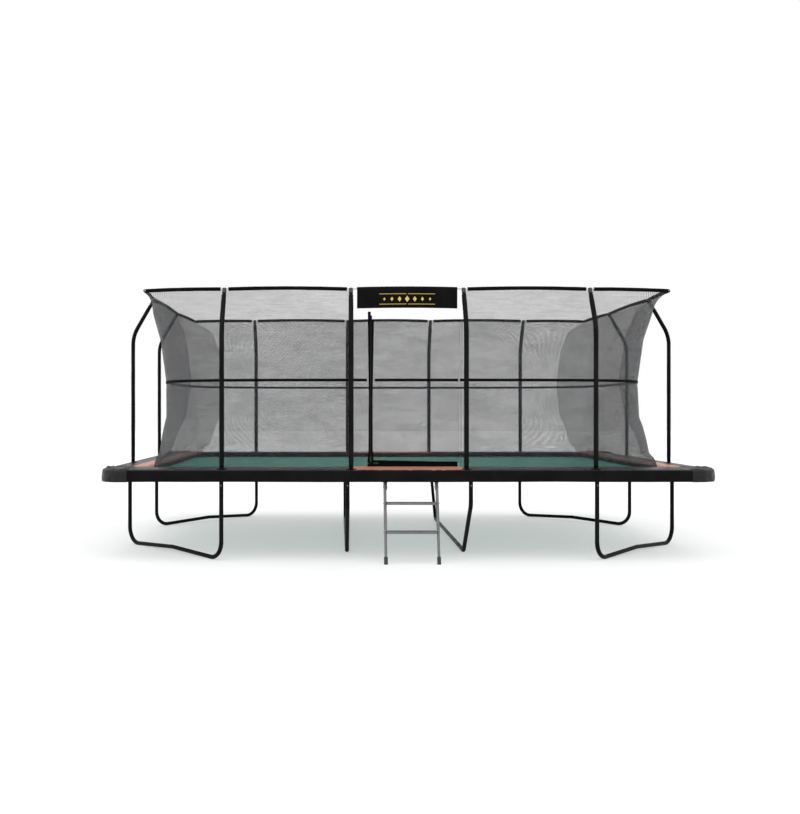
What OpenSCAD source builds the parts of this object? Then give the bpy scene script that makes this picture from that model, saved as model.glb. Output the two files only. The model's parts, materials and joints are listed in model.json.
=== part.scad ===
// Large rectangular garden trampoline with a safety net, spring pads and a hook-on ladder.
// Millimetres, +Z up, +X along the length. The origin is on the ground below the mat's centre,
// and the entrance with its ladder faces -Y.

/* [Frame] */
// Outside length of the top frame
frame_l = 6400; // [6350:10:6450]
// Outside width of the top frame
frame_w = 4270; // [4240:10:4300]
// Height of the frame tube's centre above the ground
frame_z = 890; // [880:5:900]
// Outside diameter of the frame tube
frame_d = 50; // [48:1:50]
// Radius of the frame's corner bends
corner_r = 300; // [250:10:320]
// Distance of the outer front and back poles from the middle
bay_outer = 1970; // [1940:5:1990]
// Distance of the two poles beside the entrance from the middle
bay_inner = 607; // [600:1:615]
// Distance of the side poles from the middle
side_bay = 830; // [800:5:860]

/* [Legs] */
// Outside diameter of the leg tube
leg_d = 45; // [44:1:46]
// How far the legs stand outboard of the frame tube
leg_out = 38; // [36:1:38]
// How far the middle legs stand sideways of their poles
leg_shift = 40; // [30:1:45]
// Bend radius of the corner legs
leg_bend_r = 180; // [160:5:200]
// Rise of the corner legs' ground bar towards its middle, in degrees
leg_arch = 2.5; // [1.5:0.1:3]

/* [Enclosure] */
// Outside diameter of the enclosure poles
pole_d = 38; // [36:1:38]
// Outside diameter of the foam on the front and back poles
foam_d = 52; // [50:1:54]
// Outside diameter of the foam on the side poles
side_foam_d = 46; // [45:1:50]
// Height of the top rail's centre
rail_z = 2886; // [2870:1:2900]
// How far the poles bend inwards at the top
pole_inset = 246; // [240:1:250]
// Length of the banner over the entrance
banner_l = 1080; // [1040:5:1090]
// Height of the banner
banner_h = 215; // [200:5:215]

/* [Mat and pads] */
// Length of the jumping mat
mat_l = 5750; // [5740:1:5752]
// Width of the jumping mat
mat_w = 3620; // [3612:1:3622]
// Outside length over the spring pads
pad_l = 6490; // [6482:1:6500]
// Outside width over the spring pads
pad_w = 4390; // [4385:1:4400]
// Thickness of the padding
pad_t = 40; // [36:1:40]
// Distance between springs
spring_pitch = 125; // [124:0.5:125]
// Outside diameter of a spring
spring_d = 24; // [20:1:25]

/* [Ladder] */
// Middle of the ladder along the frame
ladder_x = 18; // [10:1:25]
// Distance between the rails' centres
ladder_w = 545; // [540:1:550]
// Lean of the ladder from the vertical, in degrees
ladder_lean = 17; // [16.5:0.1:17.5]
// Outside diameter of the upper rail tube
rail_d = 32; // [30:1:32]
// Heights of the steps' top faces
step_heights = [330, 620];

/* [Hidden] */
$fn = 48;

// Frame centre lines
half_x = (frame_l - frame_d) / 2;
half_y = (frame_w - frame_d) / 2;
fit = 0.3;
frame_bore = frame_d - 4;
sleeve_d = frame_d + 8;
tee_l = 140;
rail_gap = 2;
bend_run = 2;
bend_swell = 1.2;
spigot_gap = 0.6;

// Tees: the pole socket stands on the sleeve, the leg stub hangs beside it
socket_d = pole_d + 6;
socket_top = 85;
socket_floor = 31;
stub_d = leg_d - 5 - 2 * fit;
stub_len = 170;
upright_top = -30;
bolt_d = 8;
bolt_z = -100;

// Legs
leg_bore = leg_d - 5;
corner_joint_z = 450;
middle_joint_z = 640;
spigot = 60;
middle_foot_y = 1560;

// Poles
pole_bore = pole_d - 3.2;
pole_joint_z = 1900;
pole_bend_z = 2460;
pole_bend_r = 400;
foam_z0 = 978;
foam_back = 85;
cap_back = 24;
rod_d = 14;
eye_bore = 21;
eye_d = 30;
eye_l = 34;
sleeve_tube_d = 38;
sleeve_bore = 19;
sleeve_gap = 42;

// Net: height, half length and roundness of the outline (4 is an oval box, 14 nearly square)
NET_LEVELS_X = [[905, 2785], [1100, 2792], [1500, 2776], [1900, 2805], [2400, 2868], [2700, 2930]];
NET_LEVELS_ROUND = [[905, 30], [1100, 9], [1500, 5.1], [1900, 4.1], [2400, 4.2], [2700, 5]];
net_z0 = 905;
net_z1 = 2864;
net_top = 2826;
net_straight_x = 2800;
straight_to = 0.22;
net_y0 = 1765;
net_y1 = 1862;
net_t = 5;
net_rows = [905, 1000, 1100, 1300, 1500, 1700, 1900, 2150, 2400, 2700, net_z1];
tip_x = 2840;
tip_y = 1807;
belt_z = 1906;
belt_h = 30;
seam = 0.0008;

// Door in the entrance bay
door_x0 = -392;
door_x1 = 566;
door_z0 = 1004;
door_z1 = 2552;
bay_top = 2552;
tape_w = 34;
tape_t = 3;
belt_gap = 3;
hinge_gap = 4;
hinge_cord_d = 4;

// Mat, pads and springs
mat_t = 6;
mat_z = frame_z + 2;
mat_cut = 60;
pad_z = frame_z + 37;
pad_inner_x = 2800;
pad_inner_y = 1782;
pad_inner_cut = 100;
pad_r = 250;
skirt_t = 4;
skirt_z = 830;
spring_from = 34;
ring_reach = 44;
springs_x = 44;
springs_y = 28;

// Ladder
hook_t = 6;
hook_w = 8;
hook_from = 15;
lower_rail_d = 28;
rail_top = -38;
rail_split = -560;
rail_end = -905;
step_t = 26;
step_w = 84;
boot_d = 40;

// Places where a pole and a leg meet the frame: x, y, turn about Z and sideways leg offset.
// In a place's own axes -Y is outboard.
front_places = [for (x = [-bay_outer, -bay_inner, bay_inner, bay_outer])
    [x, -half_y, 0, abs(x) == bay_inner ? sign(x) * leg_shift : 0]];
back_places = [for (x = [-bay_outer, -bay_inner, bay_inner, bay_outer])
    [x, half_y, 180, abs(x) == bay_inner ? -sign(x) * leg_shift : 0]];
side_places = [for (s = [-1, 1], y = [-side_bay, side_bay]) [s * half_x, y, s > 0 ? 90 : 270, 0]];
all_places = concat(front_places, back_places, side_places);

module at_place(p) {
    translate([p[0], p[1], frame_z]) rotate(p[2]) children();
}

// ---- Tubes ----

function unit(v) = v / norm(v);
function side_of(z) = unit(cross(abs(z[2]) < 0.9 ? [0, 0, 1] : [1, 0, 0], z));
function placed(x, y, z, o) = [
    [x[0], y[0], z[0], o[0]], [x[1], y[1], z[1], o[1]], [x[2], y[2], z[2], o[2]], [0, 0, 0, 1]];
function turn_at(p, i) = acos(unit(p[i] - p[i - 1]) * unit(p[i + 1] - p[i]));
function setback(p, r, i) = i == 0 || i == len(p) - 1 ? 0 : r * tan(turn_at(p, i) / 2);

// A straight round bar from a to b
module bar(a, b, d) {
    z = unit(b - a);
    x = side_of(z);
    multmatrix(placed(x, cross(z, x), z, a)) cylinder(h = norm(b - a), d = d);
}

// A round bar along p, bent to radius r at each inner point and longer by over at each end. The
// bends are a touch thicker than the straights, which run a little way into them.
module bent_bar(p, r, d, over = 0) {
    last = len(p) - 1;
    for (i = [0 : last - 1]) {
        u = unit(p[i + 1] - p[i]);
        a = p[i] + u * (i == 0 ? -over : setback(p, r, i) - bend_run);
        b = p[i + 1] - u * (i + 1 == last ? -over : setback(p, r, i + 1) - bend_run);
        bar(a, b, d);
    }
    for (i = [1 : last - 1]) {
        u = unit(p[i] - p[i - 1]);
        n = unit(cross(u, p[i + 1] - p[i]));
        inward = cross(n, u);
        centre = p[i] - u * setback(p, r, i) + inward * r;
        multmatrix(placed(-inward, u, n, centre))
            rotate_extrude(angle = turn_at(p, i)) translate([r, 0]) circle(d = d + bend_swell);
    }
}

module bent_tube(p, r, d, bore) {
    difference() {
        bent_bar(p, r, d);
        bent_bar(p, r, bore, 1);
    }
}

// A spigot that sits in the end of one tube and slides into the next, from z = -30 upwards
module spigot_tube(bore, l) {
    rotate_extrude()
        polygon([[bore / 2 - 3, -30], [bore / 2 + 1, -30], [bore / 2 + 1, -4],
            [bore / 2 - spigot_gap, -4], [bore / 2 - spigot_gap, l], [bore / 2 - 3, l]]);
}

module tube(h, d, bore) {
    difference() {
        cylinder(h = h, d = d);
        translate([0, 0, -1]) cylinder(h = h + 2, d = bore);
    }
}

// A stepped round bar along Z from a profile of [radius, height]
module turned(profile) {
    rotate_extrude() polygon(concat([[0, profile[0][1]]], profile, [[0, profile[len(profile) - 1][1]]]));
}

// ---- Frame ----

module frame_corner(sx, sy) {
    color("dimgray")
        mirror([sx < 0 ? 1 : 0, 0, 0])
            mirror([0, sy < 0 ? 1 : 0, 0])
                bent_tube([[half_x, side_bay + rail_gap, frame_z], [half_x, half_y, frame_z],
                    [bay_outer + rail_gap, half_y, frame_z]], corner_r, frame_d, frame_bore);
}

module frame_rail(a, b, along_y = false) {
    translate(along_y ? [0, a, frame_z] : [a, 0, frame_z])
        rotate(along_y ? [-90, 0, 0] : [0, 90, 0])
            tube(b - a, frame_d, frame_bore);
}

module frame_rails(y) {
    ends = [-bay_outer, -bay_inner, bay_inner, bay_outer];
    color("dimgray")
        for (i = [0 : 2])
            translate([0, y, 0]) frame_rail(ends[i] + rail_gap, ends[i + 1] - rail_gap);
}

module side_rail(x) {
    color("dimgray")
        translate([x, 0, 0]) frame_rail(-side_bay + rail_gap, side_bay - rail_gap, true);
}

module tee(shift) {
    bracket_x = min(0, shift) - 20;
    bracket_l = 40 + abs(shift);
    difference() {
        union() {
            rotate([0, 90, 0]) cylinder(h = tee_l, d = sleeve_d, center = true);
            cylinder(h = socket_top, d = socket_d);
            translate([bracket_x, -leg_out - 18, -26]) cube([bracket_l, leg_out + 18, 14]);
            translate([shift, -leg_out, -stub_len]) cylinder(h = stub_len - 20, d = stub_d);
        }
        rotate([0, 90, 0]) cylinder(h = tee_l + 2, d = frame_d + 2 * fit, center = true);
        translate([0, 0, socket_floor]) cylinder(h = socket_top, d = pole_d + 2 * fit);
        translate([shift, -leg_out, bolt_z]) rotate([90, 0, 0])
            cylinder(h = leg_d, d = bolt_d + 0.4, center = true);
    }
}

module tee_joints() {
    color("dimgray")
        for (p = all_places) at_place(p) tee(p[3]);
}

// ---- Legs ----

function joint_z(p) = p[3] == 0 ? corner_joint_z : middle_joint_z;

module leg_upright(p) {
    top = frame_z + upright_top;
    length = top - joint_z(p);
    difference() {
        translate([0, 0, upright_top - length]) tube(length, leg_d, leg_bore);
        translate([0, 0, bolt_z]) rotate([90, 0, 0])
            cylinder(h = leg_d + 2, d = bolt_d + 0.4, center = true);
    }
}

module leg_uprights() {
    color("black")
        for (p = all_places)
            at_place(p) translate([p[3], -leg_out, 0]) leg_upright(p);
}

module leg_bolt() {
    rotate([90, 0, 0]) {
        translate([0, 0, -leg_d / 2 - 6]) cylinder(h = leg_d + 10, d = bolt_d);
        translate([0, 0, leg_d / 2 + 0.5]) cylinder(h = 5.5, d = 15, $fn = 6);
        translate([0, 0, -leg_d / 2 - 6.5]) cylinder(h = 6, d = 15, $fn = 6);
    }
}

module leg_bolts() {
    color("silver")
        for (p = all_places)
            at_place(p) translate([p[3], -leg_out, bolt_z]) leg_bolt();
}

// The lower bent part of a leg along path, with a spigot at each end
module leg_base(path, r) {
    color("black") {
        bent_tube(path, r, leg_d, leg_bore);
        for (end = [path[0], path[len(path) - 1]]) translate(end) spigot_tube(leg_bore, spigot);
    }
}

// A corner leg has its two feet along the ground bar, which arches slightly between its bends
module leg_base_corner(sx, sy) {
    a = [bay_outer, half_y + leg_out, 0];
    b = [half_x + leg_out, side_bay, 0];
    r = leg_bend_r;
    low = leg_d / 2 + r * (1 - 1 / cos(leg_arch) - tan(leg_arch));
    mid = low + tan(leg_arch) * norm(b - a) / 2;
    up = [0, 0, 1];
    mirror([sx < 0 ? 1 : 0, 0, 0])
        mirror([0, sy < 0 ? 1 : 0, 0])
            leg_base([a + up * corner_joint_z, a + up * low, (a + b) / 2 + up * mid,
                b + up * low, b + up * corner_joint_z], r);
}

// A middle leg runs from the front to the back of the frame and slopes in under the mat
module leg_base_middle(sx) {
    y = half_y + leg_out;
    knee = 580;
    foot = leg_d / 2;
    translate([sx * (bay_inner + leg_shift), 0, 0])
        leg_base([for (s = [-1, 1]) each s < 0
            ? [[0, -y, middle_joint_z], [0, -y, knee], [0, -middle_foot_y, foot]]
            : [[0, middle_foot_y, foot], [0, y, knee], [0, y, middle_joint_z]]], 120);
}

// ---- Enclosure poles ----

function slope_dir() = unit([0, pole_inset, rail_z - pole_bend_z]);
rail_point = [0, pole_inset, rail_z - frame_z];

module pole_lower() {
    translate([0, 0, socket_floor + 1])
        tube(pole_joint_z - frame_z - socket_floor - 1, pole_d, pole_bore);
}

module pole_lowers() {
    color("black")
        for (p = all_places) at_place(p) pole_lower();
}

module pole_upper() {
    z0 = pole_joint_z - frame_z;
    bent_tube([[0, 0, z0 + 0.5], [0, 0, pole_bend_z - frame_z], rail_point - slope_dir() * cap_back],
        pole_bend_r, pole_d, pole_bore);
    translate([0, 0, z0 + 0.5]) mirror([0, 0, 1]) spigot_tube(pole_bore, 80);
}

module pole_uppers(places) {
    color("black")
        for (p = places) at_place(p) pole_upper();
}

// A foam sleeve follows its pole from the padding up through the bend to the cap
module foam_sleeve(d) {
    path = [[0, 0, foam_z0 - frame_z], [0, 0, pole_bend_z - frame_z], rail_point - slope_dir() * foam_back];
    difference() {
        bent_bar(path, pole_bend_r, d);
        bent_bar(path, pole_bend_r, pole_d + 2 * fit, 1);
    }
}

module foam_sleeves(places, d) {
    color("black")
        for (p = places) at_place(p) foam_sleeve(d);
}

// A cap closes the pole's end and its eye carries the top rod
module pole_cap() {
    w = slope_dir();
    difference() {
        union() {
            bar(rail_point - w * (cap_back + 36), rail_point, pole_d + 7);
            translate(rail_point) rotate([0, 90, 0]) cylinder(h = eye_l, d = eye_d, center = true);
        }
        bar(rail_point - w * (cap_back + 37), rail_point - w * (cap_back - 1), pole_d + 2 * fit);
        translate(rail_point) rotate([0, 90, 0]) cylinder(h = eye_l + 30, d = eye_bore, center = true);
    }
}

module pole_caps() {
    color("black")
        for (p = all_places) at_place(p) pole_cap();
}

// Corners and pole points of the top rail, once round from the front left tip
rail_front = [[-tip_x, -tip_y], [-bay_outer, -net_y1], [-bay_inner, -net_y1],
    [bay_inner, -net_y1], [bay_outer, -net_y1], [tip_x, -tip_y]];
rail_right = [[tip_x, -tip_y], [half_x - pole_inset, -side_bay], [half_x - pole_inset, side_bay],
    [tip_x, tip_y]];
rail_lines = [rail_front, rail_right, [for (q = rail_front) -q], [for (q = rail_right) -q]];

function at_rail(q) = [q[0], q[1], rail_z];
function shorter(a, b, cut) = a + unit(b - a) * cut;

// The rods meet end to end inside the eyes of the pole caps
module top_rods() {
    color("gray")
        for (line = rail_lines, i = [0 : len(line) - 2]) {
            a = at_rail(line[i]);
            b = at_rail(line[i + 1]);
            bar(shorter(a, b, i == 0 ? 14 : 1), shorter(b, a, i == len(line) - 2 ? 14 : 1), rod_d);
        }
}

module rail_sleeve(a, b) {
    difference() {
        bar(a, b, sleeve_tube_d);
        bar(shorter(a, b, -1), shorter(b, a, -1), sleeve_bore);
    }
}

module top_rail_sleeves() {
    color("black")
        for (line = rail_lines, i = [0 : len(line) - 2]) {
            a = at_rail(line[i]);
            b = at_rail(line[i + 1]);
            if (!(line == rail_front && i == 2))
                rail_sleeve(shorter(a, b, i == 0 ? 20 : sleeve_gap),
                    shorter(b, a, i == len(line) - 2 ? 20 : sleeve_gap));
        }
}

// ---- Net ----

// A point p from 0 to 8 runs once round a square: front, right, back, left
function square_at(p) = let (q = p % 8)
    q < 2 ? [q - 1, -1] : q < 4 ? [1, q - 3] : q < 6 ? [5 - q, 1] : [-1, 7 - q];
function net_half_y(z) = net_y0 + (net_y1 - net_y0) * (z - net_z0) / (net_z1 - net_z0);
function ramp(t, from) = max(0, (abs(t) - from) / (1 - from));

// How much the net's length varies with height: not at all at the door, whose edges are straight
function net_spread(t) = min(1, max(0, (abs(t) - straight_to) / (1 - 2 * straight_to)));

function net_ring(s, z, out) =
    let (n = lookup(z, NET_LEVELS_ROUND), k = pow(pow(abs(s[0]), n) + pow(abs(s[1]), n), -1 / n),
        wide = net_straight_x + (lookup(z, NET_LEVELS_X) + out - net_straight_x) * net_spread(s[0]))
    [wide * k * s[0], (net_half_y(z) + out) * k * s[1]];

function net_rail(s, out) =
    let (rail_x = half_x - pole_inset)
    abs(s[1]) == 1
    ? [(tip_x + out) * s[0], s[1] * (net_y1 + out - (net_y1 - tip_y) * ramp(s[0], bay_outer / tip_x))]
    : [s[0] * (rail_x + out - (rail_x - tip_x) * ramp(s[1], side_bay / tip_y)), (tip_y + out) * s[1]];

function net_point(p, z, out) =
    let (s = square_at(p), w = max(0, (z - 2700) / (net_z1 - 2700)),
        q = net_ring(s, z, out) * (1 - w) + (w > 0 ? net_rail(s, out) * w : [0, 0]))
    [q[0], q[1], z];

// Along the front, where the net crosses x
function front_at(x) = 1 + x / net_straight_x;
function steps(p0, p1, pitch) =
    let (n = max(1, ceil((p1 - p0) / pitch)))
    [for (i = [0 : n]) p0 + (p1 - p0) * i / n];

// A closed sheet that follows the net from p0 to p1 through the heights in rows
module net_patch(p0, p1, rows, out, t, pitch = 0.2) {
    cols = steps(p0, p1, pitch);
    nc = len(cols);
    nr = len(rows);
    count = nc * nr;
    points = concat([for (z = rows, p = cols) net_point(p, z, out + t)],
        [for (z = rows, p = cols) net_point(p, z, out)]);
    sheets = [for (j = [0 : nr - 2], i = [0 : nc - 2]) let (a = j * nc + i, b = a + 1, c = b + nc, d = a + nc)
        each [[a, d, c], [a, c, b], [a + count, b + count, c + count], [a + count, c + count, d + count]]];
    ends = [for (j = [0 : nr - 2]) let (a = j * nc, d = a + nc, b = a + nc - 1, c = b + nc)
        each [[a, a + count, d + count], [a, d + count, d], [b, c, c + count], [b, c + count, b + count]]];
    edges = [for (i = [0 : nc - 2]) let (a = i, b = i + 1, d = (nr - 1) * nc + i, c = d + 1)
        each [[a, b, b + count], [a, b + count, a + count], [d, d + count, c + count], [d, c + count, c]]];
    polyhedron(points, concat(sheets, ends, edges));
}

function rows_from(z0, z1) = concat([z0], [for (z = net_rows) if (z > z0 + 20 && z < z1 - 20) z], [z1]);

module net_panel(p0, p1, z0 = net_z0, z1 = net_top) {
    color("dimgray", 0.6)
        net_patch(p0 + seam, p1 - seam, rows_from(z0, z1), 0, net_t);
}

// The left front panel ends at the door's zip, and stops short of the banner in the entrance
module net_front_left() {
    net_panel(0, front_at(-bay_inner));
    net_panel(front_at(-bay_inner), front_at(door_x0 - 1), net_z0, bay_top);
}

// The right front panel starts at the door's sewn edge
module net_front_right() {
    net_panel(front_at(door_x1 + hinge_gap), front_at(bay_inner), net_z0, bay_top);
    net_panel(front_at(bay_inner), 2);
}

module net_back() {
    net_panel(4, 6);
}

module net_left() {
    net_panel(6, 8);
}

module net_right() {
    net_panel(2, 4);
}

module belt(p0, p1) {
    color("black")
        net_patch(p0 + seam, p1 - seam, [belt_z - belt_h / 2, belt_z + belt_h / 2], net_t + belt_gap, tape_t);
}

module net_belt() {
    belt(front_at(door_x1 + 6), front_at(bay_inner));
    for (p = [front_at(bay_inner), 2, 4, 6]) belt(p, p < 2 ? 2 : p + 2);
    belt(8, 8 + front_at(-bay_inner));
    belt(8 + front_at(-bay_inner), 8 + front_at(door_x0 - tape_w - 8));
}

module door_belt() {
    belt(front_at(door_x0 + tape_w + 8), front_at(door_x1 - 3 * hinge_gap));
}

module door_net() {
    color("dimgray", 0.6)
        net_patch(front_at(door_x0 + 1), front_at(door_x1 - hinge_gap), rows_from(door_z0, door_z1),
            0, net_t);
}

// Piping cord sewn in the seam that the door turns about
module door_hinge_cord() {
    z = door_z0 + 2;
    slope = atan((net_y1 - net_y0) / (net_z1 - net_z0));
    color("black")
        translate([door_x1 - 0.5, -net_half_y(z) - net_t / 2, z]) rotate([slope, 0, 0])
            cylinder(h = door_z1 - z - 2, d = hinge_cord_d);
}

// The fixed half of the zip: up the door's left edge and along the net's foot
module zip_tape() {
    color("black") {
        net_patch(front_at(door_x0 - tape_w), front_at(door_x0 - 1), rows_from(968, door_z1 + 90),
            net_t + 1, tape_t);
        net_patch(front_at(door_x0 + 1), front_at(door_x1), [968, 1001], 0, tape_t + net_t);
    }
}

// The door's half of the zip
module door_zip_tape() {
    color("black") {
        net_patch(front_at(door_x0 + 3), front_at(door_x0 + tape_w), rows_from(door_z0 + 34, door_z1),
            net_t + 1, tape_t);
        net_patch(front_at(door_x0 + 3), front_at(door_x1 - 3 * hinge_gap), [door_z0 + 1, door_z0 + 30],
            net_t + 1, tape_t);
    }
}

// A zip slider with its pull tab, on the tape's outer face
module zip_slider(turn) {
    rotate([0, turn, 0]) {
        translate([-8, -8, 0]) cube([16, 8, 24]);
        translate([-3, -13, 8]) cube([6, 5, 8]);
        difference() {
            translate([-7, -12, -34]) cube([14, 3, 46]);
            translate([0, -8, -26]) rotate([90, 0, 0]) cylinder(h = 6, d = 7);
        }
    }
}

zip_face = net_t + tape_t + 3;

module zip_slider_side() {
    color("silver")
        translate([door_x0, -net_half_y(1050) - zip_face, 1050]) zip_slider(0);
}

module zip_slider_bottom() {
    color("silver")
        translate([door_x0 + 60, -net_half_y(1003) - zip_face - 1, 1003]) zip_slider(90);
}

// The banner is a sleeve on the top rod with a panel that hangs from its front
module banner() {
    color("black")
        translate([-2, -net_y1, rail_z]) {
            translate([-banner_l / 2, 0, 0]) rotate([0, 90, 0]) tube(banner_l, sleeve_tube_d, sleeve_bore);
            translate([-banner_l / 2, -sleeve_tube_d / 2, -banner_h]) cube([banner_l, 4, banner_h]);
        }
}

// ---- Mat and springs ----

module cut_rect(x, y, cut) {
    polygon([[x, y - cut], [x - cut, y], [cut - x, y], [-x, y - cut],
        [-x, cut - y], [cut - x, -y], [x - cut, -y], [x, cut - y]]);
}

module jumping_mat() {
    color("seagreen")
        translate([0, 0, mat_z]) linear_extrude(mat_t) cut_rect(mat_l / 2, mat_w / 2, mat_cut);
}

module mat_webbing() {
    color("black")
        translate([0, 0, mat_z - 4])
            linear_extrude(3.8)
                difference() {
                    cut_rect(mat_l / 2 - 4, mat_w / 2 - 4, mat_cut);
                    cut_rect(mat_l / 2 - 54, mat_w / 2 - 54, mat_cut);
                }
}

function spring_row(n) = [for (i = [0 : n - 1]) (i - (n - 1) / 2) * spring_pitch];

// From a hook behind the frame tube to a V-ring at the mat: x, y, turn, length
gap_y = half_y - mat_w / 2 - spring_from - ring_reach;
gap_x = half_x - mat_l / 2 - spring_from - ring_reach;
long_springs = [for (s = [-1, 1], x = spring_row(springs_x))
    [x, s * (mat_w / 2 + ring_reach + 1), s < 0 ? -90 : 90, gap_y - 1]];
short_springs = [for (s = [-1, 1], y = spring_row(springs_y))
    [s * (mat_l / 2 + ring_reach + 1), y, s < 0 ? 180 : 0, gap_x - 1]];
corner_reach = (ring_reach + 1) / sqrt(2);
corner_at = [mat_l / 2 - mat_cut / 2 + corner_reach, mat_w / 2 - mat_cut / 2 + corner_reach];
corner_gap = norm([half_x, half_y] - corner_at) - corner_r * (sqrt(2) - 1) - frame_d / 2 - 24;
corner_springs = [for (sx = [-1, 1], sy = [-1, 1])
    [sx * corner_at[0], sy * corner_at[1], sx > 0 ? sy * 45 : 180 - sy * 45, corner_gap]];

module spring(l) {
    wire = 2;
    neck = 18;
    rotate([0, 90, 0])
        turned([[wire, 0], [wire, neck], [spring_d / 2, neck + 8], [spring_d / 2, l - neck - 8],
            [wire, l - neck], [wire, l]]);
}

module springs(list) {
    color("silver")
        for (s = list) translate([s[0], s[1], frame_z + 5]) rotate(s[2]) spring(s[3]);
}

// A flat V-ring, sewn to the mat's edge at its wide end
module v_ring() {
    linear_extrude(4, center = true)
        difference() {
            polygon([[-ring_reach, -22], [-ring_reach, 22], [0, 5], [0, -5]]);
            polygon([[4 - ring_reach, -16], [4 - ring_reach, 16], [-5, 2.5], [-5, -2.5]]);
        }
}

module v_rings() {
    color("silver")
        for (s = concat(long_springs, short_springs, corner_springs))
            translate([s[0], s[1], frame_z + 5]) rotate(s[2]) translate([-0.7, 0, 0]) v_ring();
}

// ---- Spring pads ----

module round_rect(x, y, r) {
    square([2 * x, 2 * (y - r)], center = true);
    square([2 * (x - r), 2 * y], center = true);
    for (sx = [-1, 1], sy = [-1, 1]) translate([sx * (x - r), sy * (y - r)]) circle(r = r);
}

// The whole ring of padding with the skirt that hangs from its outer edge
module pad_ring() {
    translate([0, 0, pad_z])
        linear_extrude(pad_t)
            difference() {
                round_rect(pad_l / 2, pad_w / 2, pad_r);
                cut_rect(pad_inner_x, pad_inner_y, pad_inner_cut);
                for (p = all_places) translate([p[0], p[1]]) circle(d = foam_d + 4);
            }
    translate([0, 0, skirt_z])
        linear_extrude(pad_z - skirt_z)
            difference() {
                round_rect(pad_l / 2, pad_w / 2, pad_r);
                round_rect(pad_l / 2 - skirt_t, pad_w / 2 - skirt_t, pad_r - skirt_t);
            }
}

// One section of the padding between two corners of a plan rectangle
module pad(x0, y0, x1, y1, tint) {
    color(tint)
        intersection() {
            pad_ring();
            translate([x0 + 1, y0 + 1, 0]) cube([x1 - x0 - 2, y1 - y0 - 2, rail_z]);
        }
}

pad_x = pad_l / 2 + 10;
pad_y = pad_w / 2 + 10;

// ---- Ladder ----

// In the ladder's own axes Z runs up the rails and X along the frame tube
module on_ladder(side = 0) {
    translate([ladder_x + side * ladder_w / 2, -half_y, frame_z])
        rotate([-ladder_lean, 0, 0]) children();
}

module ladder_rails() {
    color("silver")
        for (s = [-1, 1])
            on_ladder(s)
                difference() {
                    turned([[lower_rail_d / 2, rail_end], [lower_rail_d / 2, rail_split - 10],
                        [rail_d / 2, rail_split], [rail_d / 2, rail_top]]);
                    translate([0, 0, rail_end - 1]) cylinder(h = rail_top - rail_end - 9, d = 24);
                    for (z = concat([-70, -120], step_zs)) translate([0, 0, z]) rotate([0, 90, 0])
                        cylinder(h = rail_d + 2, d = 6.4, center = true);
                }
}

// Where the steps' bolts cross the rails, in the ladder's axes
step_zs = [for (h = step_heights) -(frame_z - h + step_t / 2) / cos(ladder_lean)];

// A flat hook plate on the inner side of each rail, round the frame tube
module ladder_hooks() {
    inner_r = frame_d / 2 + 0.6;
    color("silver")
        for (s = [-1, 1])
            on_ladder(s) translate([-s * (rail_d / 2 + 0.3 + hook_t / 2), 0, 0])
                rotate([90, 0, 90])
                    difference() {
                        union() {
                            rotate(hook_from) rotate_extrude(angle = 180 - hook_from)
                                translate([inner_r, -hook_t / 2]) square([hook_w, hook_t]);
                            translate([-inner_r - hook_w, -150, -hook_t / 2])
                                cube([hook_w, 150, hook_t]);
                            translate([-inner_r - hook_w, -150, -hook_t / 2])
                                cube([inner_r + hook_w + 8, 150 - inner_r - 3, hook_t]);
                        }
                        for (z = [-70, -120]) translate([0, z, 0])
                            cylinder(h = hook_t + 2, d = 6.4, center = true);
                    }
}

module ladder_step(z) {
    length = ladder_w - rail_d - 0.6;
    translate([-length / 2, -step_w / 2, 0])
        difference() {
            cube([length, step_w, step_t]);
            translate([-1, 3, -1]) cube([length + 2, step_w - 6, step_t - 3]);
            for (i = [1 : 5]) translate([-1, i * step_w / 6 - 2, step_t - 1.2]) cube([length + 2, 4, 2]);
        }
    for (s = [-1, 1])
        translate([s * (length / 2 - 2.5) - 2.5, -step_w / 2 + 2, 0])
            difference() {
                cube([5, step_w - 4, step_t - 2]);
                translate([-1, step_w / 2 - 2, step_t / 2]) rotate([0, 90, 0]) cylinder(h = 8, d = 6.4);
            }
}

module ladder_steps() {
    color("silver")
        for (z = step_zs)
            on_ladder() translate([0, 0, z]) rotate([ladder_lean, 0, 0])
                translate([0, 0, -step_t / 2]) ladder_step(z);
}

module ladder_feet() {
    color("black")
        difference() {
            for (s = [-1, 1])
                on_ladder(s) translate([0, 0, rail_end - 60]) difference() {
                    cylinder(h = 110, d = boot_d);
                    translate([0, 0, 60]) cylinder(h = 60, d = lower_rail_d + 2 * fit);
                }
            translate([-1000, -5000, -200]) cube([2000, 5000, 200]);
        }
}

module ladder_bolt(l) {
    rotate([0, 90, 0]) {
        cylinder(h = l, d = 6, center = true);
        for (s = [-1, 1]) translate([0, 0, s * (l / 2 - 2)]) cylinder(h = 4, d = 11, center = true, $fn = 6);
    }
}

module ladder_bolts() {
    color("gray")
        for (s = [-1, 1])
            on_ladder(s) {
                for (z = [-70, -120]) translate([-s * 3, 0, z]) ladder_bolt(rail_d + hook_t + 10);
                for (z = step_zs) translate([-s * 3, 0, z]) ladder_bolt(rail_d + 16);
            }
}

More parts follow.
